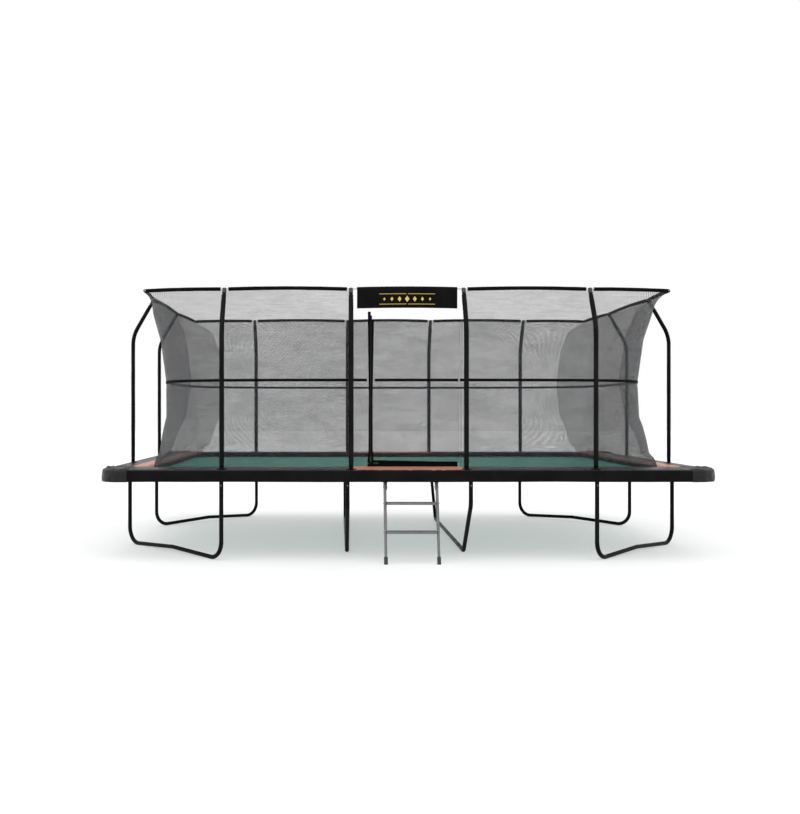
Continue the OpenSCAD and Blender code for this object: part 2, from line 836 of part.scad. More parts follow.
frame_corner(-1, -1);  // frame_corner_front_left
frame_corner(1, -1);  // frame_corner_front_right
frame_corner(-1, 1);  // frame_corner_back_left
frame_corner(1, 1);  // frame_corner_back_right
frame_rails(-half_y);  // frame_rails_front
frame_rails(half_y);  // frame_rails_back
side_rail(-half_x);  // frame_rail_left
side_rail(half_x);  // frame_rail_right
tee_joints();
leg_base_corner(-1, -1);  // leg_base_front_left
leg_base_corner(1, -1);  // leg_base_front_right
leg_base_corner(-1, 1);  // leg_base_back_left
leg_base_corner(1, 1);  // leg_base_back_right
leg_base_middle(-1);  // leg_base_middle_left
leg_base_middle(1);  // leg_base_middle_right
leg_uprights();
leg_bolts();
pole_lowers();
pole_uppers(front_places);  // pole_uppers_front
pole_uppers(back_places);  // pole_uppers_back
pole_uppers(side_places);  // pole_uppers_side
foam_sleeves(front_places, foam_d);  // foam_sleeves_front
foam_sleeves(back_places, foam_d);  // foam_sleeves_back
foam_sleeves(side_places, side_foam_d);  // foam_sleeves_side
pole_caps();
top_rods();
top_rail_sleeves();
net_front_left();
net_front_right();
net_back();
net_left();
net_right();
net_belt();
banner();
door_net();
door_hinge_cord();
door_belt();
door_zip_tape();
zip_tape();
zip_slider_side();
zip_slider_bottom();
jumping_mat();
mat_webbing();
v_rings();
springs(long_springs);  // springs_long_sides
springs(short_springs);  // springs_short_sides
springs(corner_springs);  // springs_corner
pad(-pad_x, -pad_y, -bay_inner, -pad_inner_y, "black");  // pad_front_left
pad(-bay_inner, -pad_y, bay_inner, -pad_inner_y, "orangered");  // pad_entry
pad(bay_inner, -pad_y, pad_x, -pad_inner_y, "black");  // pad_front_right
pad(-pad_x, pad_inner_y, -bay_inner, pad_y, "black");  // pad_back_left
pad(-bay_inner, pad_inner_y, bay_inner, pad_y, "orangered");  // pad_back_middle
pad(bay_inner, pad_inner_y, pad_x, pad_y, "black");  // pad_back_right
pad(-pad_x, -pad_inner_y, -pad_inner_x + 160, pad_inner_y, "orangered");  // pad_left
pad(pad_inner_x - 160, -pad_inner_y, pad_x, pad_inner_y, "orangered");  // pad_right
ladder_rails();
ladder_hooks();
ladder_steps();
ladder_feet();
ladder_bolts();
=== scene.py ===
"""The looks of the rectangular trampoline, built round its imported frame. Metres, Z up, entrance at -Y."""

import json
import math

import bmesh
import bpy
import numpy as np
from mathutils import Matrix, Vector, noise
from mathutils.bvhtree import BVHTree


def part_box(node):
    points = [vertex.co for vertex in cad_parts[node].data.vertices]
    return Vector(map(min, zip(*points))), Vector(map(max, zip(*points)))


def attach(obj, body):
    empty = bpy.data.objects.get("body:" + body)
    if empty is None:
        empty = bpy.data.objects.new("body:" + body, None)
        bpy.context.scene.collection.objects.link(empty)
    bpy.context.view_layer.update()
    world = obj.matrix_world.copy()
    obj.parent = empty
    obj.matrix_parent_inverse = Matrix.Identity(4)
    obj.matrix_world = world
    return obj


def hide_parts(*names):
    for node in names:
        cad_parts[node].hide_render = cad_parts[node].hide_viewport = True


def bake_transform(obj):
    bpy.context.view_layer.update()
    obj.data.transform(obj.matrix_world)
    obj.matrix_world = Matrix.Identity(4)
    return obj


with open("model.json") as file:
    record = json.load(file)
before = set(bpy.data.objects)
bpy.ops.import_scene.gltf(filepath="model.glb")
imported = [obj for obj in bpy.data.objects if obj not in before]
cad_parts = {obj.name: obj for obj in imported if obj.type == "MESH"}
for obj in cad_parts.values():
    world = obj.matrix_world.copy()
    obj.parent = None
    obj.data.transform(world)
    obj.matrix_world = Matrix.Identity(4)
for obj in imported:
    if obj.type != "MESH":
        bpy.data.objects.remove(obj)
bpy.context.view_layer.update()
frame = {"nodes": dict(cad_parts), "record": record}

FRAME = "enclosed_frame"


# ---- Places that the frame gives ----


def middle(node):
    low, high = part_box(node)
    return (low + high) / 2


mat_low, mat_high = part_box("jumping_mat")
pad_low = Vector(map(min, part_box("pad_front_left")[0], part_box("pad_left")[0]))
pad_high = Vector(map(max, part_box("pad_back_right")[1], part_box("pad_right")[1]))
half_x = middle("frame_rail_right").x
half_y = middle("frame_rails_back").y
frame_z = middle("frame_rails_back").z
pad_x, pad_y = pad_high.x, pad_high.y
skirt_z, pad_top = pad_low.z, pad_high.z
inner_y = -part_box("pad_entry")[1].y
bay_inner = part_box("pad_entry")[1].x + 0.001
# The opening in the pads, the poles' places along the frame, and the height and inset of the top rail
inner_x, inner_cut = 2.8, 0.1
pad_bottom = frame_z + 0.037
bay_outer, side_bay = 1.97, 0.83
rail_z, pole_inset = 2.886, 0.246
foam_radius, side_foam_radius = 0.026, 0.023

door_low, door_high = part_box("door_net")
door_x0, door_x1 = door_low.x - 0.001, door_high.x + 0.004
bay_top = door_high.z
tape_w = 0.034

# The net's outline at six heights: half its length, and the power that rounds its plan
NET_Z = [0.905, 1.1, 1.5, 1.9, 2.4, 2.7]
NET_X = [2.785, 2.792, 2.776, 2.805, 2.868, 2.93]
NET_ROUND = [30, 9, 5.1, 4.1, 4.2, 5]
# Its foot and top: their heights and half widths. Above net_rail_from it draws in to the top rail's plan
net_z0, net_z1 = 0.905, 2.864
net_y0, net_y1 = 1.765, 1.862
net_rail_from = 2.7
net_t = 0.005
# The corner tips of the top rail
tip_x, tip_y = 2.84, 1.807
# The half length in the middle of the long sides, where the door's edges are straight, and that middle's share
STRAIGHT_X, STRAIGHT_TO = 2.8, 0.22
belt_z, belt_h = middle("net_belt").z, 0.03


def square_at(p):
    """A point p from 0 to 8 runs once round a square: front, right, back, left."""
    q = p % 8
    if q < 2:
        return q - 1, -1
    if q < 4:
        return 1, q - 3
    if q < 6:
        return 5 - q, 1
    return -1, 7 - q


def past(t, start):
    return max(0, (abs(t) - start) / (1 - start))


def net_plan(p, z, out=0.0):
    """Where the net stands in plan at p along its outline and at height z."""
    u, v = square_at(p)
    n = np.interp(z, NET_Z, NET_ROUND)
    k = (abs(u) ** n + abs(v) ** n) ** (-1 / n)
    spread = min(1, max(0, (abs(u) - STRAIGHT_TO) / (1 - 2 * STRAIGHT_TO)))
    wide = STRAIGHT_X + (np.interp(z, NET_Z, NET_X) + out - STRAIGHT_X) * spread
    deep = net_y0 + (net_y1 - net_y0) * (z - net_z0) / (net_z1 - net_z0) + out
    x, y = wide * k * u, deep * k * v
    w = max(0, (z - net_rail_from) / (net_z1 - net_rail_from))
    if w > 0:
        rail_x = half_x - pole_inset
        if abs(v) == 1:
            end = past(u, bay_outer / tip_x)
            top = (tip_x + out) * u, v * (net_y1 + out - (net_y1 - tip_y) * end)
        else:
            end = past(v, side_bay / tip_y)
            top = u * (rail_x + out - (rail_x - tip_x) * end), (tip_y + out) * v
        x, y = x + (top[0] - x) * w, y + (top[1] - y) * w
    return x, y


def front_at(x):
    return 1 + x / STRAIGHT_X


# ---- Meshes ----


def add_mesh(name, points, faces, material, body=FRAME, smooth=True, cloth=None):
    """A piece with its faces, material and body. cloth gives each point's place in the cloth, in metres."""
    mesh = bpy.data.meshes.new(name)
    mesh.from_pydata([tuple(p) for p in points], [], [tuple(f) for f in faces])
    mesh.validate()
    if smooth:
        mesh.shade_smooth()
    if cloth is not None:
        layer = mesh.attributes.new("cloth", "FLOAT_VECTOR", "POINT")
        layer.data.foreach_set("vector", np.asarray(cloth, np.float32).ravel())
    mesh.materials.append(material)
    piece = bpy.data.objects.new(name, mesh)
    bpy.context.scene.collection.objects.link(piece)
    if body:
        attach(piece, body)
    return piece


def grid_faces(rows, cols, base=0, flip=False, around=False):
    """Quads over a grid of points, closed on itself where around is true."""
    faces = []
    for j in range(rows - 1):
        for i in range(cols if around else cols - 1):
            a, b = j * cols + i, j * cols + (i + 1) % cols
            quad = (base + a, base + b, base + b + cols, base + a + cols)
            faces.append(quad[::-1] if flip else quad)
    return faces


def grid_normals(grid):
    """Unit normals of a grid of points, shaped rows by columns by 3."""
    across = np.gradient(grid, axis=1)
    up = np.gradient(grid, axis=0)
    n = np.cross(across, up)
    return n / np.maximum(np.linalg.norm(n, axis=2, keepdims=True), 1e-9)


def rim_of(rows, cols):
    """The points round the border of a grid, in order."""
    ring = list(range(cols))
    ring += [j * cols + cols - 1 for j in range(1, rows)]
    ring += [(rows - 1) * cols + i for i in range(cols - 2, -1, -1)]
    ring += [j * cols for j in range(rows - 2, 0, -1)]
    return ring


def rim_faces(rows, cols, count):
    """Quads that close two grids of the same size, the second starting count points after the first."""
    ring = rim_of(rows, cols)
    return [(a, a + count, b + count, b) for a, b in zip(ring, ring[1:] + ring[:1])]


def distances(line):
    """How far along a line of points each of them is."""
    steps = np.linalg.norm(np.diff(np.asarray(line), axis=0), axis=1)
    return np.concatenate([[0], np.cumsum(steps)])


def run_length(line):
    return float(distances(line)[-1])


def sheet_from(grid, thickness):
    """Points, faces and cloth places of a closed sheet whose middle is the grid."""
    rows, cols, _ = grid.shape
    n = grid_normals(grid) * thickness / 2
    count = rows * cols
    points = np.concatenate([(grid + n).reshape(-1, 3), (grid - n).reshape(-1, 3)])
    faces = grid_faces(rows, cols) + grid_faces(rows, cols, count, flip=True)
    faces += rim_faces(rows, cols, count)
    along, high = np.meshgrid(distances(grid[rows // 2]), distances(grid[:, cols // 2]))
    cloth = np.stack([along, high, np.zeros_like(along)], 2).reshape(-1, 3)
    return points, faces, np.concatenate([cloth, cloth])


def frames_along(path):
    """Two unit vectors across the path at each of its points, turning as little as they can."""
    tangents = np.gradient(path, axis=0)
    tangents /= np.linalg.norm(tangents, axis=1, keepdims=True)
    seed = np.array([0, 0, 1.0]) if abs(tangents[0][2]) < 0.9 else np.array([1.0, 0, 0])
    first = []
    for t in tangents:
        seed = seed - t * (seed @ t)
        seed /= np.linalg.norm(seed)
        first.append(seed)
    first = np.array(first)
    return first, np.cross(tangents, first)


def tube_points(path, radius, sides, phase=0.0):
    """Rings of points round a path. radius is a number, or a function of (ring, angle)."""
    a, b = frames_along(path)
    rings = []
    for j, p in enumerate(path):
        for i in range(sides):
            angle = 2 * math.pi * i / sides + phase
            r = radius(j, angle) if callable(radius) else radius
            rings.append(p + r * (math.cos(angle) * a[j] + math.sin(angle) * b[j]))
    return rings


def solid_tube(path, radius, sides):
    """Points and faces of a round bar along a path, closed at both ends."""
    path = np.asarray(path, float)
    points = tube_points(path, radius, sides)
    faces = grid_faces(len(path), sides, around=True)
    last = (len(path) - 1) * sides
    faces.append(tuple(range(sides))[::-1])
    faces.append(tuple(last + i for i in range(sides)))
    return points, faces


def sleeve_tube(path, radius, bore, sides):
    """Points and faces of an open-ended tube of cloth or foam round a path."""
    path = np.asarray(path, float)
    outer = tube_points(path, radius, sides)
    inner = tube_points(path, bore, sides)
    count = len(outer)
    faces = grid_faces(len(path), sides, around=True)
    faces += grid_faces(len(path), sides, count, flip=True, around=True)
    last = (len(path) - 1) * sides
    for i in range(sides):
        n = (i + 1) % sides
        faces.append((i, i + count, n + count, n))
        faces.append((last + i, last + n, last + n + count, last + i + count))
    return outer + inner, faces


def joined(parts):
    """One list of points and one of faces from several pairs."""
    points, faces = [], []
    for more, shapes in parts:
        base = len(points)
        points += list(more)
        faces += [tuple(base + i for i in f) for f in shapes]
    return points, faces


def wander(x, y=0.0, z=0.0, scale=1.0):
    """Smooth noise from about -1 to 1, the same each run."""
    return noise.noise(Vector((x, y, z)) * scale)


# ---- Materials ----


class Shader:
    """A material and short ways to add its nodes."""

    def __init__(self, name, **sockets):
        self.material = bpy.data.materials.new(name)
        self.material.use_nodes = True
        self.tree = self.material.node_tree
        self.surface = self.tree.nodes["Principled BSDF"]
        for label, value in sockets.items():
            self.surface.inputs[label.replace("_", " ")].default_value = value

    def node(self, kind, **settings):
        made = self.tree.nodes.new("ShaderNode" + kind)
        for key, value in settings.items():
            setattr(made, key, value)
        return made

    def link(self, source, target):
        self.tree.links.new(source, target)

    def place(self, scale=(1, 1, 1), kind="Object", turn=(0, 0, 0)):
        """Coordinates in metres, from the shared frame or from the cloth's own cut."""
        if kind == "cloth":
            source = self.node("Attribute", attribute_name="cloth").outputs["Vector"]
        else:
            source = self.node("TexCoord").outputs[kind]
        mapping = self.node("Mapping")
        mapping.inputs["Scale"].default_value = scale
        mapping.inputs["Rotation"].default_value = turn
        self.link(source, mapping.inputs["Vector"])
        return mapping.outputs["Vector"]

    def noise(self, place, scale, detail=4.0, rough=0.55):
        made = self.node("TexNoise")
        for label, value in (("Scale", scale), ("Detail", detail), ("Roughness", rough)):
            made.inputs[label].default_value = value
        self.link(place, made.inputs["Vector"])
        return made.outputs["Fac"]

    def wave(self, place, scale, direction, distortion):
        made = self.node("TexWave", bands_direction=direction)
        made.inputs["Scale"].default_value = scale
        made.inputs["Distortion"].default_value = distortion
        self.link(place, made.inputs["Vector"])
        return made.outputs["Fac"]

    def math(self, operation, a, b=None, c=None):
        made = self.node("Math", operation=operation)
        for socket, value in zip(made.inputs, (a, b, c)):
            if value is None:
                continue
            if isinstance(value, (int, float)):
                socket.default_value = value
            else:
                self.link(value, socket)
        return made.outputs["Value"]

    def span(self, value, low, high, to_low, to_high):
        """value, from low to high, carried to the span from to_low to to_high."""
        made = self.node("MapRange")
        for label, number in zip(("From Min", "From Max", "To Min", "To Max"), (low, high, to_low, to_high)):
            made.inputs[label].default_value = number
        self.link(value, made.inputs["Value"])
        return made.outputs["Result"]

    def soft(self, noise, to_low, to_high):
        """The middle part of a noise carried to a span."""
        return self.span(noise, 0.3, 0.7, to_low, to_high)

    def mix(self, share, a, b):
        """A mix of two colours, each a colour or a socket."""
        made = self.node("Mix", data_type="RGBA")
        factor, first, second = (made.inputs[i] for i in (0, 6, 7))
        for socket, value in ((factor, share), (first, a), (second, b)):
            if isinstance(value, tuple):
                socket.default_value = (*value, 1)
            elif isinstance(value, (int, float)):
                socket.default_value = value
            else:
                self.link(value, socket)
        return made.outputs[2]

    def colour(self, value):
        self.link(value, self.surface.inputs["Base Color"])

    def rough(self, value):
        self.link(value, self.surface.inputs["Roughness"])

    def bump(self, height, strength, distance, after=None):
        made = self.node("Bump")
        made.inputs["Strength"].default_value = strength
        made.inputs["Distance"].default_value = distance
        self.link(height, made.inputs["Height"])
        if after is not None:
            self.link(after, made.inputs["Normal"])
        self.link(made.outputs["Normal"], self.surface.inputs["Normal"])
        return made.outputs["Normal"]


def wave_scale(pitch):
    """The Wave texture's scale for bands that repeat at this pitch, in metres."""
    return math.pi / 10 / pitch


def grey(value):
    return (value, value, value)


def powder_coat(name, tint, dust, roughness):
    s = Shader(name, Specular_IOR_Level=0.07)
    place = s.place()
    broad = s.noise(place, 7, 4)
    s.colour(s.mix(s.span(broad, 0.42, 0.75, 0, 1), tint, dust))
    s.rough(s.soft(broad, roughness - 0.08, roughness + 0.1))
    s.bump(s.noise(place, 650, 2), 0.12, 0.0006)
    return s.material


def zinc(name, tint, roughness, spangle=60):
    s = Shader(name, Metallic=0.9)
    place = s.place()
    cells = s.node("TexVoronoi", feature="F1")
    cells.inputs["Scale"].default_value = spangle
    s.link(place, cells.inputs["Vector"])
    dull = tuple(0.62 * c for c in tint)
    s.colour(s.mix(s.span(cells.outputs["Color"], 0.1, 0.9, 0, 0.6), tint, dull))
    streak = s.noise(s.place((90, 90, 4)), 5, 3)
    s.rough(s.soft(streak, roughness - 0.08, roughness + 0.12))
    s.bump(streak, 0.08, 0.0004)
    return s.material


def moulded(name, tint, roughness, grain=900):
    s = Shader(name)
    place = s.place()
    broad = s.noise(place, 12, 3)
    s.colour(s.mix(s.span(broad, 0.35, 0.7, 0, 0.6), tint, tuple(c * 1.8 + 0.006 for c in tint)))
    s.rough(s.soft(broad, roughness - 0.06, roughness + 0.08))
    s.bump(s.noise(place, grain, 2), 0.2, 0.0005)
    return s.material


def webbing(name, tint):
    s = Shader(name, Specular_IOR_Level=0.06, Sheen_Weight=0.01, Sheen_Roughness=0.5)
    across = s.wave(s.place(kind="cloth"), wave_scale(0.0032), "X", 1.0)
    up = s.wave(s.place(kind="cloth"), wave_scale(0.0021), "Y", 0.6)
    weave = s.math("MULTIPLY", across, up)
    broad = s.noise(s.place(), 9, 4)
    s.colour(s.mix(s.span(broad, 0.35, 0.7, 0, 1), tint, tuple(2.2 * c for c in tint)))
    s.rough(s.span(weave, 0, 1, 0.72, 0.9))
    s.bump(weave, 0.5, 0.0008)
    return s.material


def coated_cloth(name, tint, faded, roughness, crumple=1.0, gloss=0.3):
    """PVC-coated cloth: a pebbled grain, soft crumples, a slightly dusty colour."""
    s = Shader(name, Specular_IOR_Level=gloss, Coat_Weight=0.5 * gloss, Coat_Roughness=0.35)
    place = s.place()
    broad = s.noise(place, 3.2, 5, 0.6)
    s.colour(s.mix(s.span(broad, 0.4, 0.75, 0, 1), tint, faded))
    creases = s.noise(s.place((1.0, 1.4, 1.0)), 9, 5, 0.62)
    s.rough(s.soft(creases, roughness - 0.1, roughness + 0.12))
    soft = s.bump(creases, 0.35 * crumple, 0.012)
    s.bump(s.noise(place, 520, 2), 0.25, 0.0006, after=soft)
    return s.material


def net_cloth(name, tint, width=0.225, hole=0.1, yarn=0.56):
    """Knitted mesh: two families of thread cross in diamonds, with nearly open holes between them.
    width is the thread's share of the pitch. hole and yarn say how solid holes and threads are."""
    s = Shader(name, Specular_IOR_Level=0.3)
    pitch, lean, uneven = 0.009, 0.72, 2.2
    edge = (1 + math.cos(math.pi * width)) / 2
    threads = []
    for turn in (lean, -lean):
        band = s.wave(s.place(kind="cloth", turn=(0, 0, turn)), wave_scale(pitch), "X", uneven)
        threads.append(s.span(band, edge - 0.1, edge + 0.06, 0, 1))
    thread = s.math("MAXIMUM", *threads)
    stretch = s.noise(s.place((0.5, 1.6, 1), kind="cloth", turn=(0, 0, 0.9)), 2.2, 5, 0.6)
    knit = s.noise(s.place((6, 55, 1), kind="cloth"), 1.0, 3, 0.6)
    clouds = s.soft(stretch, -0.05, 0.05)
    density = s.math("ADD", clouds, s.soft(knit, -0.03, 0.03))
    solid = s.math("ADD", s.span(thread, 0, 1, hole, yarn), density)
    s.link(s.math("MAXIMUM", solid, 0.02), s.surface.inputs["Alpha"])
    s.colour(s.mix(s.soft(stretch, 0, 1), tint, tuple(1.5 * c for c in tint)))
    s.rough(s.span(thread, 0, 1, 0.85, 0.55))
    s.bump(thread, 0.4, 0.0008)
    return s.material


def mat_cloth(name, tint, faded):
    """Woven polypropylene: a flat tape weave in two directions under a fine sheen."""
    s = Shader(name, Sheen_Weight=0.08, Sheen_Roughness=0.4)
    warp = s.wave(s.place(), wave_scale(0.0028), "X", 0.8)
    weft = s.wave(s.place(), wave_scale(0.0028), "Y", 0.8)
    weave = s.math("MULTIPLY", warp, weft)
    bands = s.noise(s.place((0.4, 14, 1)), 1.2, 4, 0.6)
    broad = s.noise(s.place(), 1.1, 4, 0.55)
    shade = s.math("ADD", s.math("MULTIPLY", bands, 0.5), s.math("MULTIPLY", broad, 0.5))
    s.colour(s.mix(s.span(shade, 0.36, 0.64, 0, 1), tint, faded))
    s.rough(s.span(weave, 0, 1, 0.5, 0.72))
    s.bump(weave, 0.5, 0.0007)
    return s.material


RECIPES = {
    "galvanised_frame": (powder_coat, grey(0.004), grey(0.012), 0.45),
    "black_tube": (powder_coat, grey(0.002), grey(0.006), 0.42),
    "zinc_hardware": (zinc, (0.22, 0.22, 0.225), 0.4, 150),
    "spring_steel": (zinc, (0.4, 0.41, 0.42), 0.38, 90),
    "pole_foam": (coated_cloth, grey(0.0025), grey(0.007), 0.55, 0.4, 0.06),
    "black_plastic": (moulded, grey(0.012), 0.42),
    "rod_fibreglass": (moulded, (0.5, 0.5, 0.46), 0.4, 300),
    "black_webbing": (webbing, grey(0.0015)),
    "net_mesh": (net_cloth, (0.03, 0.031, 0.034)),
    "banner_cloth": (coated_cloth, grey(0.002), grey(0.005), 0.6, 0.25, 0.05),
    "mat_fabric": (mat_cloth, (0.012, 0.185, 0.135), (0.022, 0.24, 0.18)),
    "pad_black": (coated_cloth, grey(0.003), grey(0.01), 0.42, 1.0, 0.22),
    "pad_orange": (coated_cloth, (0.43, 0.105, 0.05), (0.5, 0.16, 0.09), 0.4, 1.0, 0.5),
    "ladder_steel": (zinc, (0.2, 0.203, 0.208), 0.42, 45),
    "foot_rubber": (moulded, grey(0.02), 0.7, 500),
}
MATERIALS = {name: make(name, *recipe) for name, (make, *recipe) in RECIPES.items()}
gold = Shader("gold_print", Metallic=0.35, Base_Color=(0.62, 0.42, 0.08, 1))
gold.rough(gold.span(gold.noise(gold.place(), 120, 4), 0.3, 0.7, 0.4, 0.6))
gold.colour(gold.mix(gold.noise(gold.place(), 60, 3), (0.55, 0.36, 0.06), (0.75, 0.55, 0.16)))
thread = Shader("pale_thread", Base_Color=(0.2, 0.2, 0.2, 1))
thread.colour(thread.mix(thread.noise(thread.place(), 400, 2), grey(0.05), grey(0.12)))
thread.rough(thread.span(thread.noise(thread.place(), 900, 2), 0.3, 0.7, 0.6, 0.85))

for row in frame["record"]["subparts"]:
    node = frame["nodes"][row["node"]]
    node.data.materials.clear()
    node.data.materials.append(MATERIALS[row["material_slot"]])


# A darker, less glossy copy of the pads' black cloth for the hanging skirts: its darker colour is painted
# shade on the vertical sides of the same cover
skirt_shaded_cloth = coated_cloth("skirt_shaded_cloth", grey(0.0018), grey(0.006), 0.5, 1.0, 0.06)
side_net = net_cloth("side_net", (0.03, 0.031, 0.034), 0.3, 0.2, 0.72)


def piece_of(name, slot, geometry, body=FRAME, nodes=(), smooth=True, cloth=None):
    """A piece with the material of its slot, which stands for the given CAD nodes."""
    points, faces = geometry
    piece = add_mesh(name, points, faces, MATERIALS[slot], body, smooth, cloth)
    if nodes:
        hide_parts(*nodes)
    return piece


def cloth_piece(name, slot, grids, thickness, body=FRAME, nodes=()):
    """A piece made of one closed sheet for each grid."""
    parts, cloth = [], []
    for grid in grids:
        points, faces, place = sheet_from(grid, thickness)
        parts.append((points, faces))
        cloth.append(place)
    return piece_of(name, slot, joined(parts), body, nodes, cloth=np.concatenate(cloth))


# ---- Net ----

NET_PITCH = 0.05
net_middle = net_t / 2
net_cloth_t = 0.0012
# Near the net's foot, between mend_end and mend_start, its rows lie closer
mend_start, mend_end = (0, 0, 1.0), (0, 0, 0.955)


def spaced(a, b, pitch):
    return np.linspace(a, b, max(2, math.ceil(abs(b - a) / pitch) + 1))


def outline_length(p0, p1, z):
    ps = np.linspace(p0, p1, 200)
    return run_length([net_plan(p, z) for p in ps])


def net_grid(p0, p1, low, high, out=net_middle, pitch=NET_PITCH, ripple=0.004):
    """Rows of points on the net from p0 to p1 and between two heights, with the cloth's soft ripples.
    high is a height, or a function of p. Rows lie closer near the net's foot, between mend_end and mend_start."""
    count = max(3, math.ceil(outline_length(p0, p1, 1.8) / pitch) + 1)
    ps = np.linspace(p0, p1, count)
    top = high if callable(high) else lambda p: high
    rise = top(p0) - low
    ts = np.linspace(0, 1, max(2, math.ceil(rise / pitch) + 1))
    if low < mend_end[2] < low + rise / 2:
        ts = np.union1d(ts, (np.linspace(mend_end[2], mend_start[2], 5) - low) / rise)
    grid = []
    for t in ts:
        row = []
        for p in ps:
            z = low + (top(p) - low) * t
            x, y = net_plan(p, z)
            wrinkle = 0.6 * wander(x, y, z, 2.1) + 0.4 * wander(x + z, y + z, z * 0.4, 5.0)
            free = min(1, (z - net_z0) / 0.25, (net_z1 + 0.01 - z) / 0.15)
            x, y = net_plan(p, z, out + ripple * wrinkle * max(free, 0))
            row.append((x, y, z))
        grid.append(row)
    return np.array(grid)


net_top = net_z1 + 0.008
seam = 0.0006
# Each panel's spans along the outline, with the height of its top there
front_left_p = front_at(-bay_inner)
front_right_p = front_at(bay_inner)
hinge_p = front_at(door_x1 + 0.004)
zip_p = front_at(door_x0 - 0.001)
net_spans = {
    "net_front_left": [(0, front_left_p, net_top), (front_left_p, zip_p, bay_top)],
    "net_front_right": [(hinge_p, front_right_p, bay_top), (front_right_p, 2, net_top)],
    "net_back": [(4, 6, net_top)],
    "net_left": [(6, 8, net_top)],
    "net_right": [(2, 4, net_top)],
}


def net_panels():
    """The five panels. Their length at height 2.4 and their area at height 1.8 are worked out but not used."""
    for name, spans in net_spans.items():
        grids = [net_grid(p0 + seam, p1 - seam, net_z0, top) for p0, p1, top in spans]
        panel = cloth_piece(name + "_mesh", "net_mesh", grids, net_cloth_t, None, [name])
        if name in ("net_left", "net_right"):
            panel.data.materials[0] = side_net
        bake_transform(panel)
        length = sum(outline_length(p0, p1, 2.4) for p0, p1, _ in spans)
        height = net_top - net_z0
        area = sum(outline_length(p0, p1, 1.8) * (top - net_z0) for p0, p1, top in spans)
        area = min(area, length * height)


def door_apron():
    """The strip of net that stays below the door, from the mat's edge up to the foot of the zip."""
    low, high = net_z0, 0.972
    grid = net_grid(zip_p + seam, hinge_p - seam, low, high)
    apron = cloth_piece("door_apron", "net_mesh", [grid], net_cloth_t, None)
    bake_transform(apron)
    outline_length(zip_p, hinge_p, low)


def net_hems():
    """A dark band sewn along the foot of each panel, where the net is laced to the mat's edge."""
    low, high = net_z0 - 0.001, net_z0 + 0.048
    for name, spans in net_spans.items():
        if name == "net_front_left":
            spans = spans + [(zip_p, hinge_p, None)]
        grids = [net_grid(a + seam, b - seam, low, high, net_middle + 0.0028, 0.04, 0) for a, b, _ in spans]
        hem = cloth_piece(name + "_hem", "black_webbing", grids, 0.0026, None)
        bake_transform(hem)
        length = sum(outline_length(p0, p1, net_z0) for p0, p1, _ in spans)


def belts():
    low, high = belt_z - belt_h / 2, belt_z + belt_h / 2
    beside_zip = tape_w + 0.008
    for name, x0, x1, laps, body in (
        ("net_belt", door_x1 + 0.006, door_x0 - beside_zip, 8, FRAME),
        ("door_belt", door_x0 + beside_zip, door_x1 - 0.012, 0, "door"),
    ):
        p0, p1 = front_at(x0), laps + front_at(x1)
        grid = net_grid(p0, p1, low, high, net_t + 0.0025, 0.06, 0.003)
        band = cloth_piece(name + "_band", "black_webbing", [grid], 0.002, body, [name])
        outline_length(p0, p1, belt_z)


def door():
    grid = net_grid(front_at(door_x0 + 0.001), front_at(door_x1 - 0.004), door_low.z, bay_top)
    panel = cloth_piece("door_mesh", "net_mesh", [grid], net_cloth_t, "door", ["door_net"])


# The zip tape's width over its height: wide at its foot, narrow half way, wider again at the top
TAPE_Z = [1.0, 1.15, 1.7, 2.55]
TAPE_WIDE = [0.036, 0.023, 0.021, 0.033]


def tape_grid(side, z0, z1, start):
    """A strip beside the zip, on its left (side -1) or right, that starts at a distance from it."""
    grid = []
    for z in spaced(z0, z1, 0.04):
        wide = np.interp(z, TAPE_Z, TAPE_WIDE) + 0.0025 * wander(0, side, z, 3.0)
        xs = np.linspace(start, max(wide, start + 0.012), 5)
        if side < 0:
            xs = -xs[::-1]
        grid.append([(*net_plan(front_at(door_x0 + x), z, net_t + 0.0025), z) for x in xs])
    return np.array(grid)


def grid_area(grid):
    """Area of a grid's faces."""
    up, across = np.diff(grid, axis=0)[:, :-1], np.diff(grid, axis=1)[:-1]
    return float(np.linalg.norm(np.cross(up, across), axis=2).sum())


def teeth(side, z0, z1):
    """Small blocks along one half of the zip, half a step higher on the right than on the left."""
    parts = []
    wide, tall, deep, pitch = 0.0032, 0.0022, 0.0026, 0.006
    box = [(0, 2, 3, 1), (4, 5, 7, 6), (0, 1, 5, 4), (2, 6, 7, 3), (0, 4, 6, 2), (1, 3, 7, 5)]
    for z in np.arange(z0, z1, pitch):
        z = z + (pitch / 2 if side > 0 else 0)
        x, y = net_plan(front_at(door_x0 + side * wide / 2), z, net_t + 0.0045)
        corners = [
            (x + sx * wide / 2, y + sy * deep / 2, z + sz * tall / 2)
            for sz in (-1, 1) for sy in (-1, 1) for sx in (-1, 1)
        ]
        parts.append((corners, box))
    return joined(parts)


